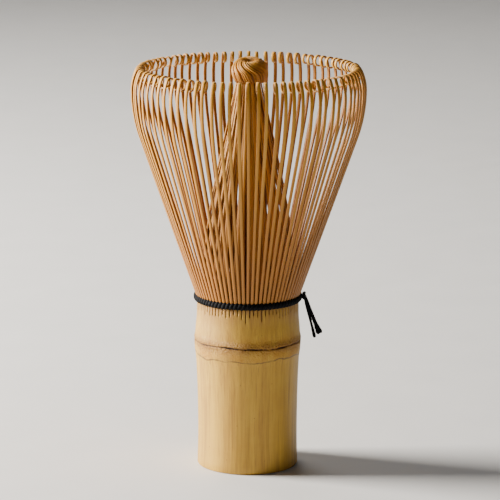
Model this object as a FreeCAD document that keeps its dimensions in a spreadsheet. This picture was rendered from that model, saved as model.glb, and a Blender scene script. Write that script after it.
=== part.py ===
import FreeCAD, Part
import math
import os

import Sketcher
from FreeCAD import Placement, Rotation, Vector

# Bamboo tea whisk. One culm makes the grip; above its node the culm is split into sixteen
# sectors, and each sector into five outer tines (skin side) and five inner tines (pith side).
# A doubled thread parts the two rings of tines. The inner tips are twisted into a knob.
# Frame: +Z is the culm's axis, the origin is the middle of the bottom rim. Millimetres.

SIZES = {
    # the culm below the tines: radii are steps out from the culm, heights steps down from its top
    "culm_radius": (13.0, "outer radius at the bottom rim"),
    "culm_height": (43.9, "bottom rim to the split end"),
    "culm_wall": (3.1, "wall of the grip at the bottom rim"),
    "neck_wall": (2.6, "wall at the split end, where every tine stands"),
    "septum_thickness": (2.4, "wall across the inside of the node"),
    "septum_drop": (1.6, "underside of the septum below the scar groove"),
    "node_drop": (10.3, "leaf scar groove below the split end"),
    "node_swell": (0.6, "where the node starts to swell"),
    "ridge_drop": (5.1, "start of the swelling below the groove"),
    "ridge_rise": (3.3, "end of the swelling above the groove"),
    "scar_swell": (0.68, "bottom of the groove"),
    "scar_half_width": (0.42, "half the groove's width"),
    "scar_depth": (0.24, "groove below its two lips"),
    "lower_ridge_round": (9.0, "radius of the swelling under the groove"),
    "upper_ridge_round": (5.3, "radius of the swelling over the groove"),
    "waist_round": (12.0, "radius of the hollow waist"),
    "neck_swell": (0.3, "where the waist ends"),
    "neck_drop": (2.0, "end of the waist below the split end"),
    "top_swell": (0.2, "split end"),
    "slit_width": (0.16, "saw-thin split between two tines"),
    "slit_depth": (0.9, "depth of a split into the skin"),
    "slit_length": (2.2, "how far the splits run down the culm"),
    # outer tines
    "tine_width": (0.78, "outer tine across the ring"),
    "tine_thickness": (0.42, "outer tine through the ring, cut level"),
    "tine_pitch": (4.5, "degrees from one tine to the next"),
    "skin_inset": (0.09, "outer tine inside the culm's skin"),
    "root_gap": (0.1, "between the split end and a tine's root"),
    "head_radius": (30.2, "outside of the ring of tines at its widest"),
    "rim_height": (105.0, "top of the curls"),
    "rim_drop": (5.8, "widest ring below the rim"),
    "shoulder_round": (37.0, "bend from the straight stem to upright"),
    "lip_round": (12.0, "bend from upright to the curl"),
    "curl_round": (1.15, "top of the curl"),
    "curl_tail_round": (1.45, "free end of the curl"),
    "curl_tail_turn": (112.0, "degrees that the free end turns"),
    # inner tines
    "inner_width": (0.4, "inner tine across the ring"),
    "inner_thickness": (0.32, "inner tine through the ring"),
    "inner_bend_drop": (24.6, "where the inner tines become straight, below the knob"),
    "bundle_top_radius": (3.3, "outside of the bundle under the knob"),
    "layer_step": (0.46, "from one layer of tips to the next"),
    # knob of twisted tips
    "knob_gap": (0.08, "between the tine ends and the knob"),
    "knob_seat_radius": (3.7, "flat underside of the knob"),
    "knob_radius": (4.55, "knob at its widest"),
    "knob_crown_radius": (1.9, "rim of the dimple in the crown"),
    "knob_underside": (4.4, "underside of the knob below the rim of the curls"),
    "knob_belly": (2.9, "widest part of the knob above its underside"),
    "knob_crown": (3.7, "crown of the knob above its widest part"),
    "knob_dimple": (0.9, "depth of the dimple"),
    # binding thread
    "thread_height": (0.95, "one strand of the binding, measured up the whisk"),
    "thread_depth": (0.5, "one strand of the binding, measured outward"),
    "thread_round": (0.22, "rounded edges of a strand"),
    "thread_gap": (0.16, "between a strand and the tines"),
    "strand_gap": (0.02, "between the two outer strands"),
    "strand_drop": (0.1, "foot of the lower strand below the split end"),
    "parting_lift": (0.35, "foot of the parting strand above the tine roots"),
    "knot_bite": (0.10, "how far the knot is pulled into the strands"),
    "knot_depth": (0.5, "half the knot, measured outward"),
    "knot_half_width": (1.1, "half the knot, measured along the thread"),
    "knot_half_height": (1.2, "half the knot, measured up the whisk"),
    "knot_lift": (0.25, "how far the knot sits above the middle of the thread"),
    "tail_thickness": (0.65, "finer thread tail"),
    "frayed_tail_thickness": (1.0, "thicker, frayed thread tail"),
    "tail_spread": (1.0, "between the two tails, along the thread"),
}
SECTORS = 16
TINES_PER_SECTOR = 5
SLITS = SECTORS * TINES_PER_SECTOR
# places that follow from the sizes above, as formulas that the sketches are tied to
CULM_TOP_RADIUS = "culm_radius + top_swell"
ROOT_HEIGHT = "culm_height + root_gap"
SKIN_RADIUS = f"{CULM_TOP_RADIUS} - skin_inset"
OUTER_ROOT_RADIUS = f"{SKIN_RADIUS} - 0.5 * tine_thickness"
PARTING_RADIUS = f"{SKIN_RADIUS} - tine_thickness - thread_gap - 0.5 * thread_depth"
PARTING_HEIGHT = f"{ROOT_HEIGHT} + parting_lift + 0.5 * thread_height"
INNER_ROOT_RADIUS = f"{PARTING_RADIUS} - 0.5 * thread_depth - thread_gap - 0.5 * inner_thickness"
KNOB_FOOT = "rim_height - knob_underside"
LOWER_STRAND_HEIGHT = "culm_height - strand_drop + 0.5 * thread_height"
UPPER_STRAND_HEIGHT = f"{LOWER_STRAND_HEIGHT} + thread_height + strand_gap"
# the outer strands lie against tines that lean outward, so the upper one is a little wider
LOWER_STRAND_RADIUS = (
    f"{SKIN_RADIUS} + thread_gap + 0.5 * thread_depth"
    " + 0.5 * thread_height * stem_slope - strand_drop * stem_slope - root_gap * stem_slope"
)
UPPER_STRAND_RADIUS = f"{LOWER_STRAND_RADIUS} + thread_height * stem_slope + strand_gap * stem_slope"
KNOT_RADIUS = f"{UPPER_STRAND_RADIUS} + 0.5 * thread_depth - knot_bite + knot_depth"
KNOT_HEIGHT = f"{LOWER_STRAND_HEIGHT} + 0.5 * thread_height + 0.5 * strand_gap + knot_lift"
# which layer of the bundle each of a sector's inner tines ends in, so that neighbours never meet
LAYER_ORDER = (0, 3, 1, 4, 2)
# routes of the two thread tails from the knot: (outward, up) in mm, chosen by hand
FINE_TAIL = [(0.1, -0.3), (0.75, -3.2), (1.85, -7.0), (2.85, -11.2)]
FRAYED_TAIL = [(0.2, -0.3), (1.15, -3.1), (2.75, -6.9), (4.15, -10.3)]

size = {name: value for name, (value, meaning) in SIZES.items()}
doc = FreeCAD.newDocument("tea_whisk")


def write_sheet():
    """Put every driving size in the document's sheet, one row each."""
    sheet = doc.addObject("Spreadsheet::Sheet", "sizes")
    for row, (name, (value, meaning)) in enumerate(SIZES.items(), start=1):
        sheet.set(f"A{row}", name)
        sheet.set(f"B{row}", str(value))
        sheet.set(f"C{row}", meaning)
        sheet.setAlias(f"B{row}", name)
    doc.recompute()


def cells(formula):
    """Turn plain size names in a formula into references to the sheet's cells."""
    words = []
    for word in formula.split():
        words.append(f"sizes.{word}" if word in SIZES else word)
    return " ".join(words)


def worked_out(formula):
    """The number that a formula gives: products of size names and numbers, added or subtracted."""
    total = 0.0
    for term in formula.replace(" - ", " + -1 * ").split(" + "):
        product = 1.0
        for factor in term.split(" * "):
            product *= size[factor] if factor in size else float(factor)
        total += product
    return total


def new_body(label):
    """An empty body with its own name."""
    body = doc.addObject("PartDesign::Body", label)
    body.Label = label
    return body


def origin_item(body, role):
    """One of the body's own origin planes or axes."""
    return next(item for item in body.Origin.OriginFeatures if item.Role == role)


def new_sketch(body, name, plane="XZ_Plane", turn=0.0):
    """A sketch on one of the body's planes, turned about Z by some degrees.

    On the upright plane, across is outward and up is Z.
    """
    sketch = body.newObject("Sketcher::SketchObject", name)
    sketch.AttachmentSupport = [(origin_item(body, plane), "")]
    sketch.MapMode = "FlatFace"
    upward = Vector(0, 1, 0) if plane == "XZ_Plane" else Vector(0, 0, 1)
    sketch.AttachmentOffset = Placement(Vector(), Rotation(upward, turn))
    return sketch


def bind(sketch, kind, places, formula):
    """Add one dimension to a sketch and tie it to the sheet."""
    number = sketch.addConstraint(Sketcher.Constraint(kind, *places, worked_out(formula)))
    sketch.setExpression(f"Constraints[{number}]", cells(formula))


def hold(sketch, edge, end, across=None, up=None):
    """Hold one point of an edge at a distance across and up from the sketch's origin."""
    for kind, axis, formula in (("DistanceX", -2, across), ("DistanceY", -1, up)):
        if formula == "0":
            sketch.addConstraint(Sketcher.Constraint("PointOnObject", edge, end, axis))
        elif formula:
            bind(sketch, kind, (-1, 1, edge, end), formula)


def arc_by_bulge(start, end, radius, bulges_left):
    """The shorter arc of a radius from start to end, bulging left or right of the way."""
    chord = end - start
    left = Vector(-chord.y, chord.x, 0).normalize()
    rise = radius - math.sqrt(radius ** 2 - (chord.Length / 2) ** 2)
    middle = (start + end) * 0.5 + left * (rise if bulges_left else -rise)
    return Part.Arc(start, middle, end)


def closed_outline(sketch, corners, rounds):
    """Draw a closed outline through corners, each given as two formulas (across, up).

    rounds maps the number of an edge to (radius name, bulges left); other edges are straight.
    """
    points = [Vector(worked_out(across), worked_out(up), 0) for across, up in corners]
    count = len(points)
    starts = []
    for number, start in enumerate(points):
        end = points[(number + 1) % count]
        edge = Part.LineSegment(start, end)
        if number in rounds:
            radius, bulges_left = rounds[number]
            edge = arc_by_bulge(start, end, size[radius], bulges_left)
        sketch.addGeometry(edge)
        # an arc is stored counter-clockwise, so its own first point may be the edge's last
        drawn_start = sketch.getPoint(number, 1)
        starts.append(1 if drawn_start.sub(start).Length < 1e-6 else 2)
    for number, (across, up) in enumerate(corners):
        following = (number + 1) % count
        ends_meet = (number, 3 - starts[number], following, starts[following])
        sketch.addConstraint(Sketcher.Constraint("Coincident", *ends_meet))
        hold(sketch, number, starts[number], across, up)
        if number in rounds:
            bind(sketch, "Radius", (number,), rounds[number][0])


def turn_outline(body, sketch):
    """A full turn of a sketch about the whisk's axis."""
    turned = body.newObject("PartDesign::Revolution", f"{body.Name}_turned")
    turned.Profile = sketch
    turned.ReferenceAxis = (origin_item(body, "Z_Axis"), [""])
    turned.Angle = 360.0
    body.Tip = turned
    return turned


def ring_pattern(body, feature, count, first_to_last):
    """Copies of a feature about the whisk's axis, over a number of degrees given as a formula."""
    ring = body.newObject("PartDesign::PolarPattern", f"{body.Name}_ring")
    ring.Originals = [feature]
    ring.Axis = (origin_item(body, "Z_Axis"), [""])
    ring.Occurrences = count
    ring.Angle = worked_out(first_to_last)
    ring.setExpression("Angle", cells(f"( {first_to_last} ) * 1deg"))
    body.Tip = ring
    return ring


def make_handle():
    """The culm: hollow below and above its node, swollen at the node, split at its top."""
    body = new_body("handle")
    sketch = new_sketch(body, "handle_outline")
    bore = "culm_radius - culm_wall"
    cavity = f"{CULM_TOP_RADIUS} - neck_wall"
    scar = "culm_height - node_drop"
    lip = "culm_radius + scar_swell + scar_depth"
    septum = f"{scar} - septum_drop"
    corners = [
        (bore, "0"),
        ("culm_radius", "0"),
        ("culm_radius + node_swell", f"{scar} - ridge_drop"),
        (lip, f"{scar} - scar_half_width"),
        ("culm_radius + scar_swell", scar),
        (lip, f"{scar} + scar_half_width"),
        ("culm_radius + node_swell", f"{scar} + ridge_rise"),
        ("culm_radius + neck_swell", "culm_height - neck_drop"),
        (CULM_TOP_RADIUS, "culm_height"),
        (cavity, "culm_height"),
        (cavity, f"{septum} + septum_thickness"),
        ("0", f"{septum} + septum_thickness"),
        ("0", septum),
        (bore, septum),
    ]
    rounds = {
        2: ("lower_ridge_round", False),
        5: ("upper_ridge_round", False),
        6: ("waist_round", True),
    }
    closed_outline(sketch, corners, rounds)
    turn_outline(body, sketch)
    doc.recompute()
    cut_slits(body)


def cut_slits(body):
    """The ring of thin splits that run down from the culm's top, between the outer tines."""
    sketch = new_sketch(body, "slit_outline", "XY_Plane", size["tine_pitch"] / 2)
    sketch.setExpression("AttachmentOffset.Base.z", cells("culm_height - slit_length"))
    inner = f"{CULM_TOP_RADIUS} - slit_depth"
    outer = f"{CULM_TOP_RADIUS} + slit_depth"
    low, high = "-0.5 * slit_width", "0.5 * slit_width"
    closed_outline(sketch, [(inner, low), (outer, low), (outer, high), (inner, high)], {})
    uncut = body.Tip.Shape.Volume
    slit = body.newObject("PartDesign::Pocket", "first_slit")
    slit.Profile = sketch
    slit.Type = "Length"
    slit.Reversed = True
    slit.setExpression("Length", cells("slit_length + root_gap"))
    body.Tip = slit
    doc.recompute()
    ring_pattern(body, slit, SLITS, "360")
    doc.recompute()
    if body.Shape.Volume > uncut - SLITS * 0.5 * size["slit_width"] * size["slit_depth"]:
        raise RuntimeError("the splits cut nothing out of the culm")


def sweep_strip(body, name, path, turn, root_radius, root_height, width, thickness):
    """Sweep a flat strip along a path sketch, from its level root.

    root_radius and root_height are formulas for the middle of the root, width and thickness
    are size names, and turn is the strip's angle about the whisk's axis.
    """
    root = new_sketch(body, f"{name}_root", "XY_Plane", turn)
    root.setExpression("AttachmentOffset.Base.z", cells(root_height))
    near = f"{root_radius} - 0.5 * {thickness}"
    far = f"{root_radius} + 0.5 * {thickness}"
    low, high = f"-0.5 * {width}", f"0.5 * {width}"
    closed_outline(root, [(near, low), (far, low), (far, high), (near, high)], {})
    strip = body.newObject("PartDesign::AdditivePipe", name)
    strip.Profile = root
    strip.Spine = (path, [])
    body.Tip = strip
    return strip


def tangent_start(point, centre, radius):
    """Where a line up from a point touches a circle that lies to the line's left."""
    reach = centre - point
    lean = math.asin(radius / reach.Length)
    length = math.sqrt(reach.Length ** 2 - radius ** 2)
    heading = math.atan2(reach.y, reach.x) - lean
    return point + Vector(math.cos(heading), math.sin(heading), 0) * length


def stem_slope():
    """How far an outer tine leans outward for each millimetre up."""
    root = Vector(worked_out(OUTER_ROOT_RADIUS), worked_out(ROOT_HEIGHT), 0)
    reach = size["head_radius"] - 0.5 * size["tine_thickness"] - size["shoulder_round"]
    shoulder = Vector(reach, size["rim_height"] - size["rim_drop"], 0)
    stem_end = tangent_start(root, shoulder, size["shoulder_round"])
    return (stem_end.x - root.x) / (stem_end.y - root.y)


def outer_tine_path(body):
    """The middle line of an outer tine: straight stem, shoulder, lip, curl and its free end."""
    sketch = new_sketch(body, f"{body.Name}_path")
    root = Vector(worked_out(OUTER_ROOT_RADIUS), worked_out(ROOT_HEIGHT), 0)
    upright = "head_radius - 0.5 * tine_thickness"
    upright_radius = worked_out(upright)
    level = size["rim_height"] - size["rim_drop"]
    shoulder = Vector(upright_radius - size["shoulder_round"], level, 0)
    lip = Vector(upright_radius - size["lip_round"], level, 0)
    stem_end = tangent_start(root, shoulder, size["shoulder_round"])
    curl_height = size["rim_height"] - 0.5 * size["tine_thickness"] - size["curl_round"]
    lean = math.asin((curl_height - level) / (size["lip_round"] - size["curl_round"]))
    across = Vector(math.cos(lean), math.sin(lean), 0)
    curl = lip + across * (size["lip_round"] - size["curl_round"])
    tail = curl + Vector(size["curl_tail_round"] - size["curl_round"], 0, 0)
    tail_end = math.pi + math.radians(size["curl_tail_turn"])
    stem_angle = math.atan2(stem_end.y - shoulder.y, stem_end.x - shoulder.x)
    arcs = [
        (shoulder, "shoulder_round", stem_angle, 0.0),
        (lip, "lip_round", 0.0, lean),
        (curl, "curl_round", lean, math.pi),
        (tail, "curl_tail_round", math.pi, tail_end),
    ]
    sketch.addGeometry(Part.LineSegment(root, stem_end))
    for centre, radius, start, end in arcs:
        circle = Part.Circle(centre, Vector(0, 0, 1), size[radius])
        sketch.addGeometry(Part.ArcOfCircle(circle, start, end))
    hold(sketch, 0, 1, OUTER_ROOT_RADIUS, ROOT_HEIGHT)
    for number in range(1, 5):
        ends_meet = (number - 1, 2, number, 1)
        sketch.addConstraint(Sketcher.Constraint("Tangent", *ends_meet))
        bind(sketch, "Radius", (number,), arcs[number - 1][1])
    hold(sketch, 1, 2, upright, "rim_height - rim_drop")
    for centre_of, end_of in ((1, 1), (3, 3)):
        level_ends = (centre_of, 3, end_of, 2)
        sketch.addConstraint(Sketcher.Constraint("Horizontal", *level_ends))
    hold(sketch, 3, 3, up="rim_height - 0.5 * tine_thickness - curl_round")
    return sketch


def place_sector(body, number):
    """Turn a sector's body about the whisk's axis, so that sector 1 is centred on +X."""
    first_tine = (number - 1) * TINES_PER_SECTOR - (TINES_PER_SECTOR - 1) / 2
    turn = Rotation(Vector(0, 0, 1), first_tine * size["tine_pitch"])
    body.Placement = Placement(Vector(), turn)


def make_outer_sector(number):
    """Five outer tines side by side, one of the sixteen sectors that the culm was split into."""
    body = new_body(f"outer_tines_{number:02d}")
    path = outer_tine_path(body)
    tine = sweep_strip(
        body, f"{body.Name}_tine", path, 0.0, OUTER_ROOT_RADIUS, ROOT_HEIGHT, "tine_width", "tine_thickness"
    )
    ring_pattern(body, tine, TINES_PER_SECTOR, f"{TINES_PER_SECTOR - 1} * tine_pitch")
    place_sector(body, number)


def inner_tine_path(body, place):
    """The middle line of one inner tine: upright root, long bend, straight to the knob."""
    layer = LAYER_ORDER[place]
    sketch = new_sketch(body, f"{body.Name}_path_{place}", turn=place * size["tine_pitch"])
    root = Vector(worked_out(INNER_ROOT_RADIUS), worked_out(ROOT_HEIGHT), 0)
    end_radius = f"bundle_top_radius - 0.5 * inner_thickness - {layer} * layer_step"
    end_height = f"{KNOB_FOOT} - knob_gap"
    end = Vector(worked_out(end_radius), worked_out(end_height), 0)
    run = size["inner_bend_drop"] - size["knob_gap"]
    rise = end.y - run - root.y
    inward = root.x - end.x
    # the bend's angle a makes rise * tan(a / 2) + run * tan(a) equal to the way inward
    low, high = 0.0, 1.0
    for _ in range(60):
        angle = (low + high) / 2
        if rise * math.tan(angle / 2) + run * math.tan(angle) > inward:
            high = angle
        else:
            low = angle
    radius = rise / math.sin(angle)
    centre = Vector(root.x - radius, root.y, 0)
    bend_end = centre + Vector(math.cos(angle), math.sin(angle), 0) * radius
    sketch.addGeometry(Part.ArcOfCircle(Part.Circle(centre, Vector(0, 0, 1), radius), 0.0, angle))
    sketch.addGeometry(Part.LineSegment(bend_end, end))
    hold(sketch, 0, 1, INNER_ROOT_RADIUS, ROOT_HEIGHT)
    sketch.addConstraint(Sketcher.Constraint("Horizontal", 0, 3, 0, 1))
    hold(sketch, 0, 2, up=f"{KNOB_FOOT} - inner_bend_drop")
    sketch.addConstraint(Sketcher.Constraint("Tangent", 0, 2, 1, 1))
    hold(sketch, 1, 2, end_radius, end_height)
    return sketch


def make_inner_sector(number):
    """Five inner tines, which draw together in layers under the knob."""
    body = new_body(f"inner_tines_{number:02d}")
    for place in range(TINES_PER_SECTOR):
        path = inner_tine_path(body, place)
        turn = place * size["tine_pitch"]
        name = f"{body.Name}_tine_{place}"
        sweep_strip(
            body, name, path, turn, INNER_ROOT_RADIUS, ROOT_HEIGHT, "inner_width", "inner_thickness"
        )
    place_sector(body, number)


def bulge_radius(flat, height, reach):
    """Radius of an arc that starts at a flat's edge and is upright where it reaches furthest."""
    step = size[reach] - size[flat]
    return (step ** 2 + size[height] ** 2) / (2 * step)


def make_knob():
    """The knob of twisted tips: flat seat, round side, dimple where the tips are tucked in."""
    body = new_body("tip_knob")
    sketch = new_sketch(body, "knob_outline")
    belly_height = f"{KNOB_FOOT} + knob_belly"
    crown_height = f"{belly_height} + knob_crown"
    bottom = Vector(0, worked_out(KNOB_FOOT), 0)
    seat = bottom + Vector(size["knob_seat_radius"], 0, 0)
    widest = Vector(size["knob_radius"], worked_out(belly_height), 0)
    rim = Vector(size["knob_crown_radius"], worked_out(crown_height), 0)
    dimple = Vector(0, rim.y - size["knob_dimple"], 0)
    belly = bulge_radius("knob_seat_radius", "knob_belly", "knob_radius")
    crown = bulge_radius("knob_crown_radius", "knob_crown", "knob_radius")
    sketch.addGeometry(Part.LineSegment(bottom, seat))
    for radius, start, end in ((belly, seat, widest), (crown, widest, rim)):
        centre = Vector(widest.x - radius, widest.y, 0)
        angles = [math.atan2(point.y - centre.y, point.x - centre.x) for point in (start, end)]
        circle = Part.Circle(centre, Vector(0, 0, 1), radius)
        sketch.addGeometry(Part.ArcOfCircle(circle, *angles))
    sketch.addGeometry(Part.LineSegment(rim, dimple))
    sketch.addGeometry(Part.LineSegment(dimple, bottom))
    for number in range(5):
        kind = "Tangent" if number == 1 else "Coincident"
        ends_meet = (number, 2, (number + 1) % 5, 1)
        sketch.addConstraint(Sketcher.Constraint(kind, *ends_meet))
    hold(sketch, 0, 1, "0", KNOB_FOOT)
    hold(sketch, 0, 2, "knob_seat_radius", KNOB_FOOT)
    hold(sketch, 1, 2, "knob_radius", belly_height)
    sketch.addConstraint(Sketcher.Constraint("Horizontal", 1, 3, 1, 2))
    hold(sketch, 2, 2, "knob_crown_radius", crown_height)
    hold(sketch, 3, 2, "0", f"{crown_height} - knob_dimple")
    turn_outline(body, sketch)


def make_strand(label, radius, height):
    """One round of the binding thread, as a plain ring with rounded edges."""
    body = new_body(label)
    sketch = new_sketch(body, f"{label}_outline")
    near, far = f"{radius} - 0.5 * thread_depth", f"{radius} + 0.5 * thread_depth"
    low, high = f"{height} - 0.5 * thread_height", f"{height} + 0.5 * thread_height"
    closed_outline(sketch, [(near, low), (far, low), (far, high), (near, high)], {})
    ring = turn_outline(body, sketch)
    doc.recompute()
    edges = body.newObject("PartDesign::Fillet", f"{label}_rounded")
    edges.Base = (ring, [""])
    edges.UseAllEdges = True
    edges.setExpression("Radius", cells("thread_round"))
    body.Tip = edges


def make_knot():
    """The knot that ends the binding, drawn up tight against both outer strands."""
    knot = doc.addObject("Part::Ellipsoid", "thread_knot")
    knot.Label = "thread_knot"
    knot.Angle1 = -90.0
    bindings = {
        "Radius1": "knot_half_height",
        "Radius2": "knot_depth",
        "Radius3": "knot_half_width",
        "Placement.Base.x": KNOT_RADIUS,
        "Placement.Base.z": KNOT_HEIGHT,
    }
    for place, formula in bindings.items():
        knot.setExpression(place, cells(formula))


def tail_route(points):
    """Straight runs joined by tangent arcs, each arc as large as its two runs allow."""
    edges = []
    reached = points[0]
    for before, corner, after in zip(points, points[1:], points[2:]):
        run_in, run_out = corner - before, after - corner
        turn = run_in.getAngle(run_out)
        shorter = min(run_in.Length, run_out.Length)
        trim = 0.45 * shorter
        radius = trim / math.tan(turn / 2)
        print(f"tail bend radius {radius:.1f} mm over {math.degrees(turn):.1f} degrees")
        start = corner - run_in.normalize() * trim
        end = corner + run_out.normalize() * trim
        inward = (start + end) * 0.5 - corner
        to_centre = radius / math.cos(turn / 2)
        middle = corner + inward.normalize() * (to_centre - radius)
        edges.append(Part.LineSegment(reached, start).toShape())
        edges.append(Part.Arc(start, middle, end).toShape())
        reached = end
    edges.append(Part.LineSegment(reached, points[-1]).toShape())
    return Part.Wire(edges)


def make_tail(label, route, thickness, side):
    """One cut end of the thread: stiff, springing away from the knot and down the culm."""
    knot = Vector(worked_out(KNOT_RADIUS), side * size["tail_spread"] / 2, worked_out(KNOT_HEIGHT))
    path = tail_route([knot + Vector(outward, 0, up) for outward, up in route])
    start = path.Edges[0]
    circle = Part.Circle(start.valueAt(0), start.tangentAt(0), size[thickness] / 2)
    tube = path.makePipeShell([Part.Wire([circle.toShape()])], True, True)
    expected = math.pi * (size[thickness] / 2) ** 2 * path.Length
    if abs(tube.Volume / expected - 1) > 0.01:
        raise RuntimeError(f"{label} has the wrong volume")
    tail = doc.addObject("Part::Feature", label)
    tail.Label = label
    tail.Shape = tube


def write_parts(labels):
    """Check every object and every sub-part, then write one file for each sub-part."""
    for item in doc.Objects:
        if "Invalid" in item.State or "Error" in item.State:
            raise RuntimeError(f"{item.Name} failed: {item.State}")
    parts = {item.Label: item for item in doc.Objects if item.Label in labels}
    for label in labels:
        shape = parts[label].Shape
        if shape.isNull() or not shape.isValid():
            raise RuntimeError(f"{label} has no valid shape")
    os.makedirs("parts", exist_ok=True)
    for label in labels:
        parts[label].Shape.exportStep(f"parts/{label}.step")
        print(f"{label}: {len(parts[label].Shape.Solids)} solids, {parts[label].Shape.Volume:.1f} mm3")


def main():
    """Build the whisk and write its parts."""
    size["stem_slope"] = stem_slope()
    SIZES["stem_slope"] = (size["stem_slope"], "worked out: outward lean of an outer tine per mm up")
    write_sheet()
    make_handle()
    labels = ["handle"]
    for number in range(1, SECTORS + 1):
        make_outer_sector(number)
        make_inner_sector(number)
        labels += [f"outer_tines_{number:02d}", f"inner_tines_{number:02d}"]
    make_knob()
    make_strand("binding_strand_lower", LOWER_STRAND_RADIUS, LOWER_STRAND_HEIGHT)
    make_strand("binding_strand_upper", UPPER_STRAND_RADIUS, UPPER_STRAND_HEIGHT)
    make_strand("parting_strand", PARTING_RADIUS, PARTING_HEIGHT)
    make_knot()
    make_tail("thread_tail_fine", FINE_TAIL, "tail_thickness", -1)
    make_tail("thread_tail_frayed", FRAYED_TAIL, "frayed_tail_thickness", 1)
    labels += ["tip_knob", "binding_strand_lower", "binding_strand_upper", "parting_strand"]
    labels += ["thread_knot", "thread_tail_fine", "thread_tail_frayed"]
    doc.recompute()
    write_parts(labels)


main()
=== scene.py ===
import logging
import math
import random
from dataclasses import dataclass, field
from enum import Enum

import bmesh
import bpy
from mathutils import Matrix, Vector, noise


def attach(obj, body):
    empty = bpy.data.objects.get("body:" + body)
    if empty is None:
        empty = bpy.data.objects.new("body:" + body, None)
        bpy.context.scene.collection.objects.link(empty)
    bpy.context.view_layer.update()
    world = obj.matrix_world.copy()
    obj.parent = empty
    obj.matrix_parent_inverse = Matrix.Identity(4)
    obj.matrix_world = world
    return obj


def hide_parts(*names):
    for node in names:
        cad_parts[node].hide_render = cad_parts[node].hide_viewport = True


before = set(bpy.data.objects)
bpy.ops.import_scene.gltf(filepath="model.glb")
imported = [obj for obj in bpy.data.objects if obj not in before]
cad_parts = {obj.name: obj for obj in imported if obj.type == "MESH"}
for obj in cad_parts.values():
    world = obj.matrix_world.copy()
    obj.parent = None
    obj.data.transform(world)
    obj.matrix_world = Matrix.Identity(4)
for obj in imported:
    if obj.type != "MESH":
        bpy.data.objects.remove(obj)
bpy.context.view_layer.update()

LOG = logging.getLogger("tea_whisk")
MM = 0.001
SECTORS = 16
TINES = 5
PITCH = math.radians(360 / (SECTORS * TINES))
ROOT_BODY = "whisk"
NO_CURL = 2.0
Point = tuple[float, float]
Place = tuple[float, float, float]
Colour = tuple[float, float, float, float]
Socket = bpy.types.NodeSocket
Finish = bpy.types.Material
Thing = bpy.types.Object


class SocketKind(Enum):
    """The kinds of input that a node tree takes."""

    GEOMETRY = "NodeSocketGeometry"
    NUMBER = "NodeSocketFloat"
    COUNT = "NodeSocketInt"
    VECTOR = "NodeSocketVector"
    MATERIAL = "NodeSocketMaterial"


class Salt(Enum):
    """What sets one random draw of a strip apart from its others."""

    WIDTH = 11
    LEAN = 21
    SWAY = 22
    BOW_OUT = 31
    BOW_ASIDE = 32
    CURL_SIZE = 41
    CURL_TURN = 42
    PLACE = 51


class Slot(Enum):
    """The record's material slots."""

    CULM = "culm"
    OUTER = "outer_tines"
    INNER = "inner_tines"
    KNOB = "knob"
    THREAD = "thread"


class NodeBench:
    """A node tree being built, with short calls for its nodes and links."""

    def __init__(self, tree: bpy.types.NodeTree) -> None:
        """Keep the tree.

        Args:
            tree: The geometry or shader tree to add nodes to.
        """
        self.tree = tree

    def add(self, kind: str, values: dict | None = None, **settings) -> bpy.types.Node:
        """Add one node.

        Args:
            kind: The node's type name.
            values: Sockets by name or number, each given a value or another node's output.
            settings: The node's own properties.

        Returns:
            The new node.
        """
        node = self.tree.nodes.new(kind)
        for name, value in settings.items():
            setattr(node, name, value)
        for key, value in (values or {}).items():
            self.feed(node.inputs[key], value)
        return node

    def feed(self, socket: Socket, value) -> None:
        """Link an output to a socket, or set the socket's own value.

        Args:
            socket: The input to feed.
            value: Another node's output, or a plain value.
        """
        if isinstance(value, Socket):
            self.tree.links.new(value, socket)
        else:
            socket.default_value = value

    def math(self, operation: str, *values) -> Socket:
        """One arithmetic step on numbers."""
        node = self.add("ShaderNodeMath", dict(enumerate(values)), operation=operation)
        return node.outputs[0]

    def times(self, first, second) -> Socket:
        """The product of two numbers."""
        return self.math("MULTIPLY", first, second)

    def plus(self, first, second) -> Socket:
        """The sum of two numbers."""
        return self.math("ADD", first, second)

    def minus(self, first, second) -> Socket:
        """The first number less the second."""
        return self.math("SUBTRACT", first, second)

    def flip(self, share) -> Socket:
        """What a share lacks of 1."""
        return self.math("SUBTRACT", 1.0, share)

    def vector(self, operation: str, *values) -> Socket:
        """One arithmetic step on vectors.

        Args:
            operation: The step's name.
            values: What it works on: vectors, and a number after the vector that it scales.

        Returns:
            The result.
        """
        node = self.add("ShaderNodeVectorMath", operation=operation)
        for number, value in enumerate(values):
            self.feed(node.inputs["Scale" if operation == "SCALE" and number == 1 else number], value)
        return node.outputs["Value" if operation in ("LENGTH", "DOT_PRODUCT") else "Vector"]

    def combine(self, across=0.0, along=0.0, up=0.0) -> Socket:
        """A vector from three numbers."""
        return self.add("ShaderNodeCombineXYZ", {0: across, 1: along, 2: up}).outputs[0]

    def parts(self, value) -> tuple:
        """The three numbers of a vector."""
        return tuple(self.add("ShaderNodeSeparateXYZ", {0: value}).outputs)

    def ramp(self, value, low, high) -> Socket:
        """0 up to low, 1 from high on, and a smooth way between."""
        values = {0: value, 1: low, 2: high}
        return self.add("ShaderNodeMapRange", values, interpolation_type="SMOOTHSTEP").outputs[0]

    def cloud(self, place, scale: float, detail: float, roughness: float = 0.5) -> Socket:
        """Soft noise at a place, from 0 to 1."""
        values = {"Vector": place, "Scale": scale, "Detail": detail, "Roughness": roughness}
        return self.add("ShaderNodeTexNoise", values).outputs[0]

    def between(self, low, high, share) -> Socket:
        """A number part of the way from low to high."""
        return self.add("ShaderNodeMix", {2: low, 3: high, 0: share}).outputs[0]


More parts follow.
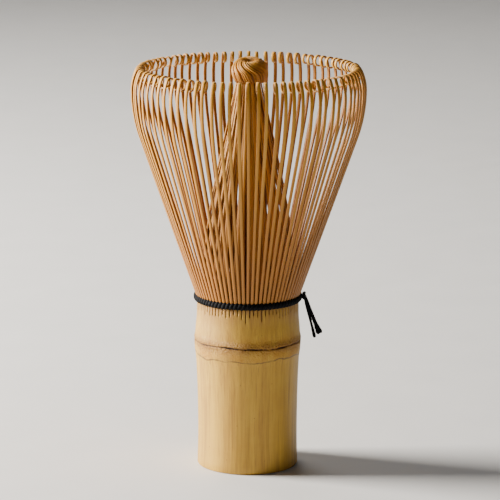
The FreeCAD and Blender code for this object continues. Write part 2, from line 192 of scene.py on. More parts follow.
class GeometryBench(NodeBench):
    """A Geometry Nodes tree that ends in real geometry with a material."""

    def __init__(self, name: str, inputs: dict[str, SocketKind]) -> None:
        """Make the tree with its named inputs.

        Args:
            name: The tree's name.
            inputs: The kind of each named input, after the host's own geometry.
        """
        super().__init__(bpy.data.node_groups.new(name, "GeometryNodeTree"))
        face = self.tree.interface
        face.new_socket("Geometry", in_out="INPUT", socket_type=SocketKind.GEOMETRY.value)
        for label, kind in inputs.items():
            face.new_socket(label, in_out="INPUT", socket_type=kind.value)
        face.new_socket("Material", in_out="INPUT", socket_type=SocketKind.MATERIAL.value)
        face.new_socket("Geometry", in_out="OUTPUT", socket_type=SocketKind.GEOMETRY.value)
        self.given = self.add("NodeGroupInput").outputs

    def capture(self, geometry, **fields) -> list:
        """Hold field values on a geometry's points.

        Args:
            geometry: The curve or mesh to hold them on.
            fields: Each value to hold, with its type as FLOAT or VECTOR and its output.

        Returns:
            The geometry, then each held value.
        """
        node = self.add("GeometryNodeCaptureAttribute", {0: geometry})
        for number, (label, (kind, value)) in enumerate(fields.items(), start=1):
            node.capture_items.new(kind, label)
            self.feed(node.inputs[number], value)
        return [node.outputs[number] for number in range(len(fields) + 1)]

    def chance(self, low: float, high: float, key, salt: int) -> Socket:
        """A random number for each key, the same on every run.

        Args:
            low: The least it can be.
            high: The most it can be.
            key: What each number is drawn for.
            salt: What sets this draw apart from the others.

        Returns:
            The number.
        """
        node = self.add("FunctionNodeRandomValue", data_type="FLOAT")
        seed = self.plus(self.given["Seed"], salt)
        named = {socket.name: socket for socket in node.inputs if socket.enabled}
        for label, value in (("Min", low), ("Max", high), ("ID", key), ("Seed", seed)):
            self.feed(named[label], value)
        return next(socket for socket in node.outputs if socket.enabled)

    def keep(self, geometry, name: str, kind: str, value) -> Socket:
        """Store a named attribute that a material reads.

        Args:
            geometry: The geometry to store it on.
            name: The attribute's name.
            kind: Its data type.
            value: The value.

        Returns:
            The geometry with the attribute.
        """
        node = self.add("GeometryNodeStoreNamedAttribute", {"Geometry": geometry, "Name": name})
        node.data_type = kind
        socket = next(item for item in node.inputs if item.name == "Value" and item.enabled)
        self.feed(socket, value)
        return node.outputs[0]

    def close(self, geometry) -> bpy.types.NodeTree:
        """End the tree: smooth shading, real geometry, material.

        Args:
            geometry: The finished geometry.

        Returns:
            The tree.
        """
        smooth = self.add("GeometryNodeSetShadeSmooth", {"Geometry": geometry}).outputs[0]
        real = self.add("GeometryNodeRealizeInstances", {0: smooth}).outputs[0]
        values = {"Geometry": real, "Material": self.given["Material"]}
        dressed = self.add("GeometryNodeSetMaterial", values).outputs[0]
        self.add("NodeGroupOutput", {0: dressed})
        return self.tree


def placed(name: str, data) -> Thing:
    """An object with its data, linked to the scene.

    Args:
        name: The object's name.
        data: Its mesh, light or camera.

    Returns:
        The object.
    """
    thing = bpy.data.objects.new(name, data)
    bpy.context.collection.objects.link(thing)
    return thing


def hold(mesh: bpy.types.Mesh, held: dict[str, list]) -> None:
    """Store values on a mesh's points.

    Args:
        mesh: The mesh.
        held: Each value's name, with one number or vector for each point.
    """
    for label, values in held.items():
        if isinstance(values[0], Vector):
            flat = [part for value in values for part in value]
            mesh.attributes.new(label, "FLOAT_VECTOR", "POINT").data.foreach_set("vector", flat)
        else:
            mesh.attributes.new(label, "FLOAT", "POINT").data.foreach_set("value", values)


def grow(host: Thing, tree: bpy.types.NodeTree, sizes: dict) -> Thing:
    """Run a tree on its host once and keep the result as a plain mesh.

    Args:
        host: The object that the tree works on.
        tree: The geometry tree.
        sizes: Values for the tree's named inputs.

    Returns:
        The host, with the finished mesh and no modifier.
    """
    modifier = host.modifiers.new("grown", "NODES")
    modifier.node_group = tree
    for socket in tree.interface.items_tree:
        if socket.in_out == "INPUT" and socket.name in sizes:
            modifier[socket.identifier] = sizes[socket.name]
    graph = bpy.context.evaluated_depsgraph_get()
    mesh = bpy.data.meshes.new_from_object(host.evaluated_get(graph))
    host.modifiers.remove(modifier)
    host.data = mesh
    mesh.name = host.name
    return host


def mesh_piece(name: str, vertices: list, faces: list, material: Finish) -> Thing:
    """A piece from plain vertices and faces, smooth, with its faces outward.

    Args:
        name: The piece's name.
        vertices: Points in metres.
        faces: Vertex numbers of each face.
        material: The finish.

    Returns:
        The object, linked to the scene.
    """
    mesh = bpy.data.meshes.new(name)
    mesh.from_pydata(vertices, [], faces)
    shape = bmesh.new()
    shape.from_mesh(mesh)
    bmesh.ops.remove_doubles(shape, verts=shape.verts, dist=1e-7)
    bmesh.ops.recalc_face_normals(shape, faces=shape.faces)
    shape.to_mesh(mesh)
    shape.free()
    mesh.shade_smooth()
    mesh.materials.append(material)
    return placed(name, mesh)


def settle(piece: Thing, body: str, slot: Slot, *nodes: str) -> None:
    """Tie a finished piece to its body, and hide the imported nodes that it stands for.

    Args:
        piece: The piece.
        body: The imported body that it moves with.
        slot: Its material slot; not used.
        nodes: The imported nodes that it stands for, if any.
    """
    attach(piece, body)
    if nodes:
        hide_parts(*nodes)
    LOG.info("%s: %d faces on %s", piece.name, len(piece.data.polygons), body)


def shader_group(name: str, inputs: dict[str, SocketKind], outputs: dict[str, SocketKind]) -> tuple:
    """Start a shader node group.

    Args:
        name: The group's name.
        inputs: The kind of each named input.
        outputs: The kind of each named output.

    Returns:
        The bench, the group's given values and its output node.
    """
    tree = bpy.data.node_groups.new(name, "ShaderNodeTree")
    for direction, sockets in (("INPUT", inputs), ("OUTPUT", outputs)):
        for label, kind in sockets.items():
            tree.interface.new_socket(label, in_out=direction, socket_type=kind.value)
    bench = NodeBench(tree)
    return bench, bench.add("NodeGroupInput").outputs, bench.add("NodeGroupOutput")


class Effects:
    """The shader groups that more than one finish places."""

    def __init__(self) -> None:
        """Build each group once."""
        self.fibre = self.make_fibre()
        self.blotch = self.make_blotch()
        self.arris = self.make_arris()

    def make_fibre(self) -> bpy.types.NodeTree:
        """Straight bamboo fibre: long thin streaks, and fine lines to press into the surface."""
        number = SocketKind.NUMBER
        inputs = {"Place": SocketKind.VECTOR, "Across": number, "Along": number, "Contrast": number}
        bench, given, out = shader_group("bamboo fibre", inputs, {"Streak": number, "Line": number})
        across, along = given["Across"], given["Along"]
        place = bench.vector("MULTIPLY", given["Place"], bench.combine(across, across, along))
        broad = bench.cloud(place, 1.0, 3.0)
        narrow = bench.cloud(bench.vector("SCALE", place, 3.7), 1.0, 4.0)
        mixed = bench.between(broad, narrow, 0.45)
        spread = bench.times(bench.minus(mixed, 0.5), given["Contrast"])
        streak = bench.add("ShaderNodeClamp", {0: bench.plus(spread, 0.5)}).outputs[0]
        bench.feed(out.inputs["Streak"], streak)
        bench.feed(out.inputs["Line"], narrow)
        return bench.tree

    def make_blotch(self) -> bpy.types.NodeTree:
        """Uneven patches of tint and small dark specks."""
        number = SocketKind.NUMBER
        inputs = {"Place": SocketKind.VECTOR, "Size": number, "Speck Size": number, "Specks": number}
        bench, given, out = shader_group("blotches and specks", inputs, {"Patch": number, "Speck": number})
        place = bench.vector("SCALE", given["Place"], bench.math("DIVIDE", 1.0, given["Size"]))
        patch = bench.cloud(place, 1.0, 5.0, 0.6)
        bench.feed(out.inputs["Patch"], bench.ramp(patch, 0.36, 0.68))
        near = bench.vector("SCALE", given["Place"], bench.math("DIVIDE", 1.0, given["Speck Size"]))
        cell = bench.add("ShaderNodeTexVoronoi", {"Vector": near, "Scale": 1.0})
        dot = bench.flip(bench.ramp(cell.outputs["Distance"], 0.08, 0.22))
        few = bench.math("LESS_THAN", bench.parts(cell.outputs["Color"])[0], given["Specks"])
        bench.feed(out.inputs["Speck"], bench.times(dot, few))
        return bench.tree

    def make_arris(self) -> bpy.types.NodeTree:
        """A tint along the two long edges of a split strip, broken by its fibre."""
        number = SocketKind.NUMBER
        inputs = {"Across": number, "Reach": number, "Break": number}
        bench, given, out = shader_group("edge tint", inputs, {"Edge": number})
        far = bench.math("ABSOLUTE", given["Across"])
        shaken = bench.plus(far, bench.times(bench.minus(given["Break"], 0.5), 0.5))
        bench.feed(out.inputs["Edge"], bench.ramp(shaken, bench.flip(given["Reach"]), 1.05))
        return bench.tree


class FinishBench(NodeBench):
    """A material being built around one Principled shader."""

    def __init__(self, name: str, effects: Effects) -> None:
        """Make the material.

        Args:
            name: The material's name.
            effects: The shared groups.
        """
        self.material = bpy.data.materials.new(name)
        self.material.use_nodes = True
        super().__init__(self.material.node_tree)
        self.effects = effects
        self.shader = self.tree.nodes["Principled BSDF"]

    def place(self, group: bpy.types.NodeTree, **values) -> bpy.types.NodeOutputs:
        """Place a shared group, its inputs given by name with underscores for spaces.

        Args:
            group: The shared group.
            values: Its inputs.

        Returns:
            Its outputs.
        """
        node = self.add("ShaderNodeGroup", node_tree=group)
        for key, value in values.items():
            self.feed(node.inputs[key.replace("_", " ")], value)
        return node.outputs

    def where(self) -> Socket:
        """The place on the object, in metres."""
        return self.add("ShaderNodeTexCoord").outputs["Object"]

    def stored(self, name: str) -> Socket:
        """A number that the mesh holds under a name."""
        return self.add("ShaderNodeAttribute", attribute_name=name).outputs["Fac"]

    def tint(self, share, under, over, weight: float = 1.0, blend: str = "MIX") -> Socket:
        """Blend one colour over another.

        Args:
            share: How far the upper colour counts, from 0 to 1.
            under: The lower colour.
            over: The upper colour.
            weight: A part that the share is cut to.
            blend: How the two are blended.

        Returns:
            The blended colour.
        """
        node = self.add("ShaderNodeMix", data_type="RGBA", blend_type=blend)
        share = self.times(share, weight) if weight < 1.0 else share
        for number, value in ((0, share), (6, under), (7, over)):
            self.feed(node.inputs[number], value)
        return node.outputs[2]

    def done(self, colour, roughness, height, depth: float, strength: float = 1.0, **plain) -> Finish:
        """Feed the shader and end the material.

        Args:
            colour: The base colour.
            roughness: The roughness.
            height: What the bump reads, from 0 to 1.
            depth: The bump's depth in metres.
            strength: How far the bump counts.
            plain: The shader's own constant sockets, by name with underscores for spaces.

        Returns:
            The material.
        """
        self.feed(self.shader.inputs["Base Color"], colour)
        self.feed(self.shader.inputs["Roughness"], roughness)
        bump = self.add("ShaderNodeBump", {"Strength": strength, "Distance": depth, "Height": height})
        self.feed(self.shader.inputs["Normal"], bump.outputs[0])
        for key, value in plain.items():
            self.feed(self.shader.inputs[key.replace("_", " ")], value)
        return self.material


@dataclass(frozen=True)
class SplitBambooFinish:
    """Split bamboo: tines and knob strands, pale skin outside and warmer pith inside, with a painted
    highlight on the curled ends.
    """

    name: str
    pale: Colour = (0.720, 0.375, 0.032, 1.0)
    warm: Colour = (0.480, 0.196, 0.010, 1.0)
    pith: Colour = (0.350, 0.130, 0.012, 1.0)
    edge: Colour = (0.200, 0.064, 0.006, 1.0)
    root: Colour = (0.330, 0.112, 0.010, 1.0)
    # The tip colour and its share below paint a highlight: light cream laid over the curled ends.
    tip_highlight: Colour = (0.840, 0.520, 0.085, 1.0)
    length: float = 0.062
    tip_highlight_share: float = 0.45
    fineness: float = 1.6
    relief: float = 0.00005
    roughness: float = 0.46
    patch_shade: Colour = (0.78, 0.62, 0.46, 1.0)
    speck_shade: Colour = (0.40, 0.24, 0.12, 1.0)

    def material(self, effects: Effects) -> Finish:
        """Build the material.

        Args:
            effects: The shared groups.

        Returns:
            The material, which reads the strip's stored across, through, along and strip values.
        """
        bench = FinishBench(self.name, effects)
        across, through = bench.stored("across"), bench.stored("through")
        along, strip = bench.stored("along"), bench.stored("strip")
        shift = bench.times(strip, 13.7)
        place = bench.combine(bench.plus(across, shift), through, bench.times(along, self.length))
        fibre = bench.place(effects.fibre, Place=place, Across=self.fineness, Along=120.0, Contrast=2.2)
        blotch = bench.place(effects.blotch, Place=place, Size=1.9, Speck_Size=0.8, Specks=0.05)
        edge = bench.place(effects.arris, Across=across, Reach=0.42, Break=fibre["Streak"])
        tone = bench.add("ShaderNodeTexWhiteNoise", {"W": strip}, noise_dimensions="1D").outputs["Value"]
        skin = bench.tint(fibre["Streak"], self.warm, self.pale)
        skin = bench.tint(tone, skin, self.warm, 0.5)
        inside = bench.flip(bench.ramp(through, -0.7, 0.5))
        skin = bench.tint(inside, skin, self.pith, 0.75)
        low = bench.flip(bench.ramp(along, 0.0, 0.85))
        skin = bench.tint(low, skin, self.root, 0.75)
        # Painted highlight: the last part of each strip, its curled end, is lightened towards cream.
        skin = bench.tint(bench.ramp(along, 0.86, 1.0), skin, self.tip_highlight, self.tip_highlight_share)
        skin = bench.tint(edge["Edge"], skin, self.edge, 0.6)
        skin = bench.tint(blotch["Patch"], skin, self.patch_shade, 0.22, blend="MULTIPLY")
        skin = bench.tint(blotch["Speck"], skin, self.speck_shade, 0.5, blend="MULTIPLY")
        rough = bench.between(self.roughness - 0.08, self.roughness + 0.14, fibre["Line"])
        return bench.done(skin, rough, fibre["Line"], self.relief, 0.6, Specular_IOR_Level=0.42)


@dataclass(frozen=True)
class CulmFinish:
    """The waxy skin of a whole culm, browned at its node and at the cuts."""

    name: str
    node_height: float
    band_low: float
    top: float
    pale: Colour = (0.630, 0.372, 0.030, 1.0)
    straw: Colour = (0.395, 0.203, 0.014, 1.0)
    amber: Colour = (0.470, 0.215, 0.015, 1.0)
    tan: Colour = (0.250, 0.098, 0.010, 1.0)
    bark: Colour = (0.045, 0.014, 0.002, 1.0)
    patch_shade: Colour = (0.80, 0.64, 0.42, 1.0)
    speck_shade: Colour = (0.30, 0.15, 0.06, 1.0)
    band_fade: float = 0.0045
    stain_reach: float = 0.0024
    edge_line: float = 0.00034
    slit_run: float = 0.0075

    def material(self, effects: Effects) -> Finish:
        """Build the material.

        Args:
            effects: The shared groups.

        Returns:
            The material, which reads Object coordinates and the grip's stored cut and scar values.
        """
        bench = FinishBench(self.name, effects)
        where = bench.where()
        place = bench.vector("SCALE", where, 1000.0)
        height = bench.parts(where)[2]
        fibre = bench.place(effects.fibre, Place=place, Across=2.0, Along=0.03, Contrast=3.8)
        broad = bench.place(effects.fibre, Place=place, Across=0.30, Along=0.012, Contrast=3.6)
        blotch = bench.place(effects.blotch, Place=place, Size=4.2, Speck_Size=0.9, Specks=0.035)
        grit = bench.place(effects.blotch, Place=place, Size=0.55, Speck_Size=0.35, Specks=0.10)
        skin = bench.tint(broad["Streak"], self.straw, self.pale)
        skin = bench.tint(fibre["Streak"], skin, self.pale, 0.4)
        dark_fibre = bench.flip(bench.ramp(fibre["Streak"], 0.08, 0.40))
        skin = bench.tint(dark_fibre, skin, self.tan, 0.38)
        skin = bench.tint(blotch["Patch"], skin, self.patch_shade, 0.24, blend="MULTIPLY")
        low_edge = self.wavy(bench, place, self.band_low, 0.0032, 0.16)
        above = bench.ramp(height, low_edge, bench.plus(low_edge, 0.0004))
        past = bench.ramp(height, self.node_height, self.node_height + self.band_fade)
        inside_band = bench.times(above, bench.flip(past))
        warm = bench.times(inside_band, bench.between(0.10, 0.80, blotch["Patch"]))
        skin = bench.tint(warm, skin, self.amber)
        node_near = self.bell(bench, height, self.node_height, self.stain_reach)
        stained = bench.times(node_near, bench.between(0.45, 1.0, grit["Patch"]))
        skin = bench.tint(stained, skin, self.tan, 0.85)
        line = self.bell(bench, height, low_edge, self.edge_line)
        patchy = bench.times(line, bench.ramp(blotch["Patch"], -0.3, 0.5))
        skin = bench.tint(patchy, skin, self.bark, 0.75)
        scar = bench.stored("scar")
        ragged = bench.ramp(bench.plus(scar, bench.times(grit["Patch"], 0.25)), 0.25, 0.75)
        skin = bench.tint(ragged, skin, self.bark, 0.96)
        below = bench.flip(bench.ramp(bench.minus(self.top, height), 0.0, self.slit_run))
        run = bench.times(below, bench.ramp(fibre["Streak"], 0.30, 0.62))
        skin = bench.tint(run, skin, self.tan, 0.72)
        skin = bench.tint(bench.stored("stain"), skin, self.tan, 0.85)
        skin = bench.tint(bench.stored("cut"), skin, self.bark)
        skin = bench.tint(bench.stored("inside"), skin, self.tan, 0.7)
        skin = bench.tint(blotch["Speck"], skin, self.speck_shade, 0.7, blend="MULTIPLY")
        rough = bench.between(0.40, 0.62, fibre["Line"])
        rough = bench.between(rough, 0.78, bench.math("MAXIMUM", stained, warm))
        wrinkled = bench.plus(node_near, bench.times(inside_band, 0.35))
        wrinkle = bench.times(wrinkled, grit["Patch"])
        relief = bench.plus(bench.times(fibre["Line"], 0.5), wrinkle)
        return bench.done(skin, rough, relief, 0.00022, 0.75, Coat_Weight=0.08, Coat_Roughness=0.4)

    def wavy(self, bench: FinishBench, place, level: float, swing: float, scale: float) -> Socket:
        """A height that wanders round the culm."""
        return bench.plus(level, bench.times(bench.minus(bench.cloud(place, scale, 3.0), 0.5), swing))

    def bell(self, bench: FinishBench, height, centre, reach) -> Socket:
        """1 at a height and 0 a reach above or below it."""
        far = bench.math("ABSOLUTE", bench.minus(height, centre))
        return bench.flip(bench.ramp(far, 0.0, reach))


@dataclass(frozen=True)
class ThreadFinish:
    """Black waxed thread, with a painted cool glint on its fibres."""

    name: str
    black: Colour = (0.0010, 0.0011, 0.0015, 1.0)
    glint: Colour = (0.0065, 0.0075, 0.0110, 1.0)
    dust: Colour = (0.022, 0.021, 0.020, 1.0)

    def material(self, effects: Effects) -> Finish:
        """Build the material.

        Args:
            effects: The shared groups.

        Returns:
            The material, which reads the strand's stored across, through and run values.
        """
        bench = FinishBench(self.name, effects)
        place = bench.vector("SCALE", bench.where(), 1000.0)
        run = bench.stored("run")
        around = bench.math("ARCTAN2", bench.stored("through"), bench.stored("across"))
        turn = bench.plus(around, bench.times(run, 2.6))
        ply = bench.math("SINE", bench.times(turn, 5.0))
        twist = bench.combine(bench.math("SINE", turn), bench.math("COSINE", turn), bench.times(run, 0.25))
        hair = bench.cloud(twist, 3.4, 4.0)
        blotch = bench.place(effects.blotch, Place=place, Size=1.4, Speck_Size=0.33, Specks=0.16)
        # Painted highlight: the glint colour is laid on the fibres where the hair noise is high.
        skin = bench.tint(bench.ramp(hair, 0.42, 0.7), self.black, self.glint)
        skin = bench.tint(blotch["Speck"], skin, self.dust, 0.35)
        skin = bench.tint(blotch["Patch"], skin, (0.6, 0.6, 0.62, 1.0), 0.5, blend="MULTIPLY")
        relief = bench.plus(bench.times(ply, 0.3), hair)
        rough = bench.between(0.5, 0.8, hair)
        return bench.done(skin, rough, relief, 0.00009, 0.9, Specular_IOR_Level=0.1)


@dataclass(frozen=True)
class FloorFinish:
    """A plain pale matt floor."""

    name: str
    pale: Colour = (0.78, 0.775, 0.765, 1.0)

    def material(self, effects: Effects) -> Finish:
        """Build the material.

        Args:
            effects: The shared groups.

        Returns:
            The material.
        """
        bench = FinishBench(self.name, effects)
        mottle = bench.cloud(bench.where(), 60.0, 6.0)
        grey = tuple(channel * 0.94 for channel in self.pale[:3]) + (1.0,)
        skin = bench.tint(mottle, grey, self.pale)
        return bench.done(skin, bench.between(0.55, 0.8, mottle), mottle, 0.0002, 0.2)


@dataclass
class Line:
    """The middle line of one strip or strand, in millimetres, with what its section needs."""

    points: list[Vector]
    outward: list[Vector]
    girth: list[float]
    depth: list[float]
    closed: bool = False

    def runs(self) -> list[float]:
        """The length from the start to each point."""
        total = [0.0]
        for before, after in zip(self.points, self.points[1:]):
            total.append(total[-1] + (after - before).length)
        return total


def line_host(name: str, lines: list[Line], first: int = 0) -> Thing:
    """A mesh of bare edges that holds each line's values on its points.

    Args:
        name: The piece's name.
        lines: The lines.
        first: The number of the first line's strip.

    Returns:
        The object, linked to the scene.
    """
    points, edges = [], []
    held: dict[str, list] = {label: [] for label in ("along", "run", "strip", "girth", "depth", "outward")}
    for number, line in enumerate(lines, start=first):
        start = len(points)
        points += [point * MM for point in line.points]
        edges += [(item, item + 1) for item in range(start, len(points) - 1)]
        if line.closed:
            edges.append((len(points) - 1, start))
        runs = line.runs()
        held["run"] += runs
        held["along"] += [run / runs[-1] for run in runs]
        held["strip"] += [float(number)] * len(runs)
        held["girth"] += line.girth
        held["depth"] += line.depth
        held["outward"] += line.outward
    mesh = bpy.data.meshes.new(name)
    mesh.from_pydata(points, edges, [])
    hold(mesh, held)
    return placed(name, mesh)


class StripTree:
    """The geometry tree that turns lines into split strips or strands, each a little different."""

    NUMBERS = ("Width", "Thickness", "Chamfer", "First Turn", "Pitch", "Turn Error", "Sway", "Lean", "Bow",
               "Uneven", "Curl Start", "Curl Growth", "Curl Twist")

    def __init__(self) -> None:
        """Build the tree."""
        kinds = {label: SocketKind.NUMBER for label in self.NUMBERS}
        kinds.update({"Curl Centre": SocketKind.VECTOR, "Seed": SocketKind.COUNT})
        self.bench = GeometryBench("split strips", kinds)
        skin, middle, heading, corner = self.sweep()
        self.along, self.strip = self.held("along"), self.held("strip")
        place = self.section(middle, heading, corner)
        place = self.stray(place)
        place = self.curl(place)
        place = self.round_about(place)
        moved = self.bench.add("GeometryNodeSetPosition", {"Geometry": skin, "Position": place}).outputs[0]
        across, through, _ = self.bench.parts(corner)
        moved = self.bench.keep(moved, "across", "FLOAT", across)
        moved = self.bench.keep(moved, "through", "FLOAT", through)
        self.tree = self.bench.close(moved)

    def held(self, name: str, kind: str = "FLOAT") -> Socket:
        """A value that the host holds under a name."""
        node = self.bench.add("GeometryNodeInputNamedAttribute", {"Name": name}, data_type=kind)
        return next(socket for socket in node.outputs if socket.name == "Attribute" and socket.enabled)

    def varied(self, salt: Salt, most: str) -> Socket:
        """A random number for each strip, up to a given size either way."""
        return self.bench.times(self.bench.chance(-1.0, 1.0, self.strip, salt.value), self.bench.given[most])

    def sweep(self) -> tuple:
        """Sweep a chamfered square along each line.

        Returns:
            The mesh, and its held middle line, heading and section corner.
        """
        bench = self.bench
        place = bench.add("GeometryNodeInputPosition").outputs[0]
        tangent = bench.add("GeometryNodeInputTangent").outputs[0]
        line = bench.add("GeometryNodeMeshToCurve", {0: bench.given["Geometry"]}).outputs[0]
        line, middle, heading = bench.capture(line, middle=("VECTOR", place), heading=("VECTOR", tangent))
        sides = {"Width": 2.0, "Height": 2.0}
        square = bench.add("GeometryNodeCurvePrimitiveQuadrilateral", sides).outputs[0]
        values = {"Curve": square, "Count": 1, "Radius": bench.given["Chamfer"]}
        section = bench.add("GeometryNodeFilletCurve", values, mode="POLY").outputs[0]
        section, corner = bench.capture(section, corner=("VECTOR", place))
        values = {"Curve": line, "Profile Curve": section, "Fill Caps": True}
        return bench.add("GeometryNodeCurveToMesh", values).outputs[0], middle, heading, corner

    def section(self, middle, heading, corner) -> Socket:
        """Each point's place from the middle line, with the strip's width and thickness.

        Args:
            middle: The middle line's place.
            heading: The way it runs there.
            corner: The place in the chamfered square.

        Returns:
            The point's place.
        """
        bench = self.bench
        outward = self.held("outward", "FLOAT_VECTOR")
        side = bench.vector("NORMALIZE", bench.vector("CROSS_PRODUCT", heading, outward))
        face = bench.vector("CROSS_PRODUCT", side, heading)
        across, through, _ = bench.parts(corner)
        wide = bench.times(bench.times(bench.given["Width"], self.held("girth")), 0.5)
        wide = bench.times(wide, bench.plus(1.0, self.varied(Salt.WIDTH, "Uneven")))
        thick = bench.times(bench.times(bench.given["Thickness"], self.held("depth")), 0.5)
        out = bench.vector("ADD", middle, bench.vector("SCALE", side, bench.times(across, wide)))
        return bench.vector("ADD", out, bench.vector("SCALE", face, bench.times(through, thick)))

    def stray(self, place) -> Socket:
        """Lean, sway and bow: how far a strip strays from its neighbours.

        Args:
            place: Each point's place so far.

        Returns:
            The place after it.
        """
        bench = self.bench
        late = bench.math("POWER", self.along, 2.0)
        arch = bench.math("SINE", bench.times(self.along, math.pi))
        shifts = []
        for lean, most, bow in ((Salt.LEAN, "Lean", Salt.BOW_OUT), (Salt.SWAY, "Sway", Salt.BOW_ASIDE)):
            leant = bench.times(self.varied(lean, most), late)
            shifts.append(bench.plus(leant, bench.times(self.varied(bow, "Bow"), arch)))
        return bench.vector("ADD", place, bench.combine(shifts[0], shifts[1], 0.0))

    def curl(self, place) -> Socket:
        """Grow or shrink the curled end about its start, and turn it a little.

        Args:
            place: Each point's place so far.

        Returns:
            The place after it.
        """
        bench = self.bench
        centre = bench.given["Curl Centre"]
        late = bench.math("GREATER_THAN", self.along, bench.given["Curl Start"])
        share = bench.plus(1.0, bench.times(self.varied(Salt.CURL_SIZE, "Curl Growth"), late))
        off = bench.vector("SCALE", bench.vector("SUBTRACT", place, centre), share)
        slow = bench.ramp(self.along, bench.given["Curl Start"], 1.0)
        twist = bench.times(self.varied(Salt.CURL_TURN, "Curl Twist"), slow)
        return self.spin(bench.vector("ADD", centre, off), centre, twist)

    def round_about(self, place) -> Socket:
        """Turn each strip to its own place round the axis.

        Args:
            place: Each point's place so far.

        Returns:
            The place after it.
        """
        bench = self.bench
        turn = bench.plus(bench.given["First Turn"], bench.times(self.strip, bench.given["Pitch"]))
        turn = bench.plus(turn, self.varied(Salt.PLACE, "Turn Error"))
        return self.spin(place, (0.0, 0.0, 0.0), turn)

    def spin(self, place, centre, angle) -> Socket:
        """Turn a place about an upright axis."""
        values = {"Vector": place, "Center": centre, "Angle": angle}
        return self.bench.add("ShaderNodeVectorRotate", values, rotation_type="Z_AXIS").outputs[0]

    def piece(self, name: str, lines: list[Line], material: Finish, **sizes) -> Thing:
        """Grow one piece.

        Args:
            name: The piece's name.
            lines: The middle lines.
            material: The finish.
            sizes: Values for the tree's inputs, by name with underscores for spaces, and
                under first the number of the first strip.

        Returns:
            The piece.
        """
        host = line_host(name, lines, sizes.pop("first", 0))
        settings = {label: 0.0 for label in self.NUMBERS}
        settings.update({key.replace("_", " "): value for key, value in sizes.items()})
        settings["Material"] = material
        piece = grow(host, self.tree, settings)
        turn_outward(piece.data)
        return piece


def turn_outward(mesh: bpy.types.Mesh) -> None:
    """Turn a closed mesh's faces outward when its volume comes out negative."""
    shape = bmesh.new()
    shape.from_mesh(mesh)
    if shape.calc_volume(signed=True) < 0:
        bmesh.ops.reverse_faces(shape, faces=shape.faces)
        shape.to_mesh(mesh)
    shape.free()


def arc_points(centre: Point, radius: float, start: float, end: float, steps: int) -> list[Point]:
    """Points on an arc, its first left out because the run before it ends there.

    Args:
        centre: The arc's centre, outward and up.
        radius: Its radius.
        start: The angle it starts at, in radians.
        end: The angle it ends at.
        steps: How many points.

    Returns:
        The points.
    """
    angles = [start + (end - start) * step / steps for step in range(1, steps + 1)]
    return [(centre[0] + radius * math.cos(angle), centre[1] + radius * math.sin(angle)) for angle in angles]


def run_points(start: Point, end: Point, steps: int) -> list[Point]:
    """Points on a straight run, its first left out.

    Args:
        start: Where the run starts, outward and up.
        end: Where it ends.
        steps: How many points.

    Returns:
        The points.
    """
    out, up = end[0] - start[0], end[1] - start[1]
    shares = [step / steps for step in range(1, steps + 1)]
    return [(start[0] + out * share, start[1] + up * share) for share in shares]


def upright_line(profile: list[Point], girth: list[float], depth: list[float]) -> Line:
    """A line in the plane y = 0, its section facing away from the axis.

    Args:
        profile: Its points, outward and up.
        girth: The width's share at each point.
        depth: The thickness's share at each point.

    Returns:
        The line.
    """
    outward = []
    for number in range(len(profile)):
        before, after = profile[max(number - 1, 0)], profile[min(number + 1, len(profile) - 1)]
        heading = Vector((after[0] - before[0], 0.0, after[1] - before[1])).normalized()
        outward.append(Vector((heading.z, 0.0, -heading.x)))
    return Line([Vector((out, 0.0, up)) for out, up in profile], outward, girth, depth)


def eased(value: float, low: float, high: float) -> float:
    """0 up to low, 1 from high on, smooth between."""
    share = min(max((value - low) / (high - low), 0.0), 1.0)
    return share * share * (3 - 2 * share)


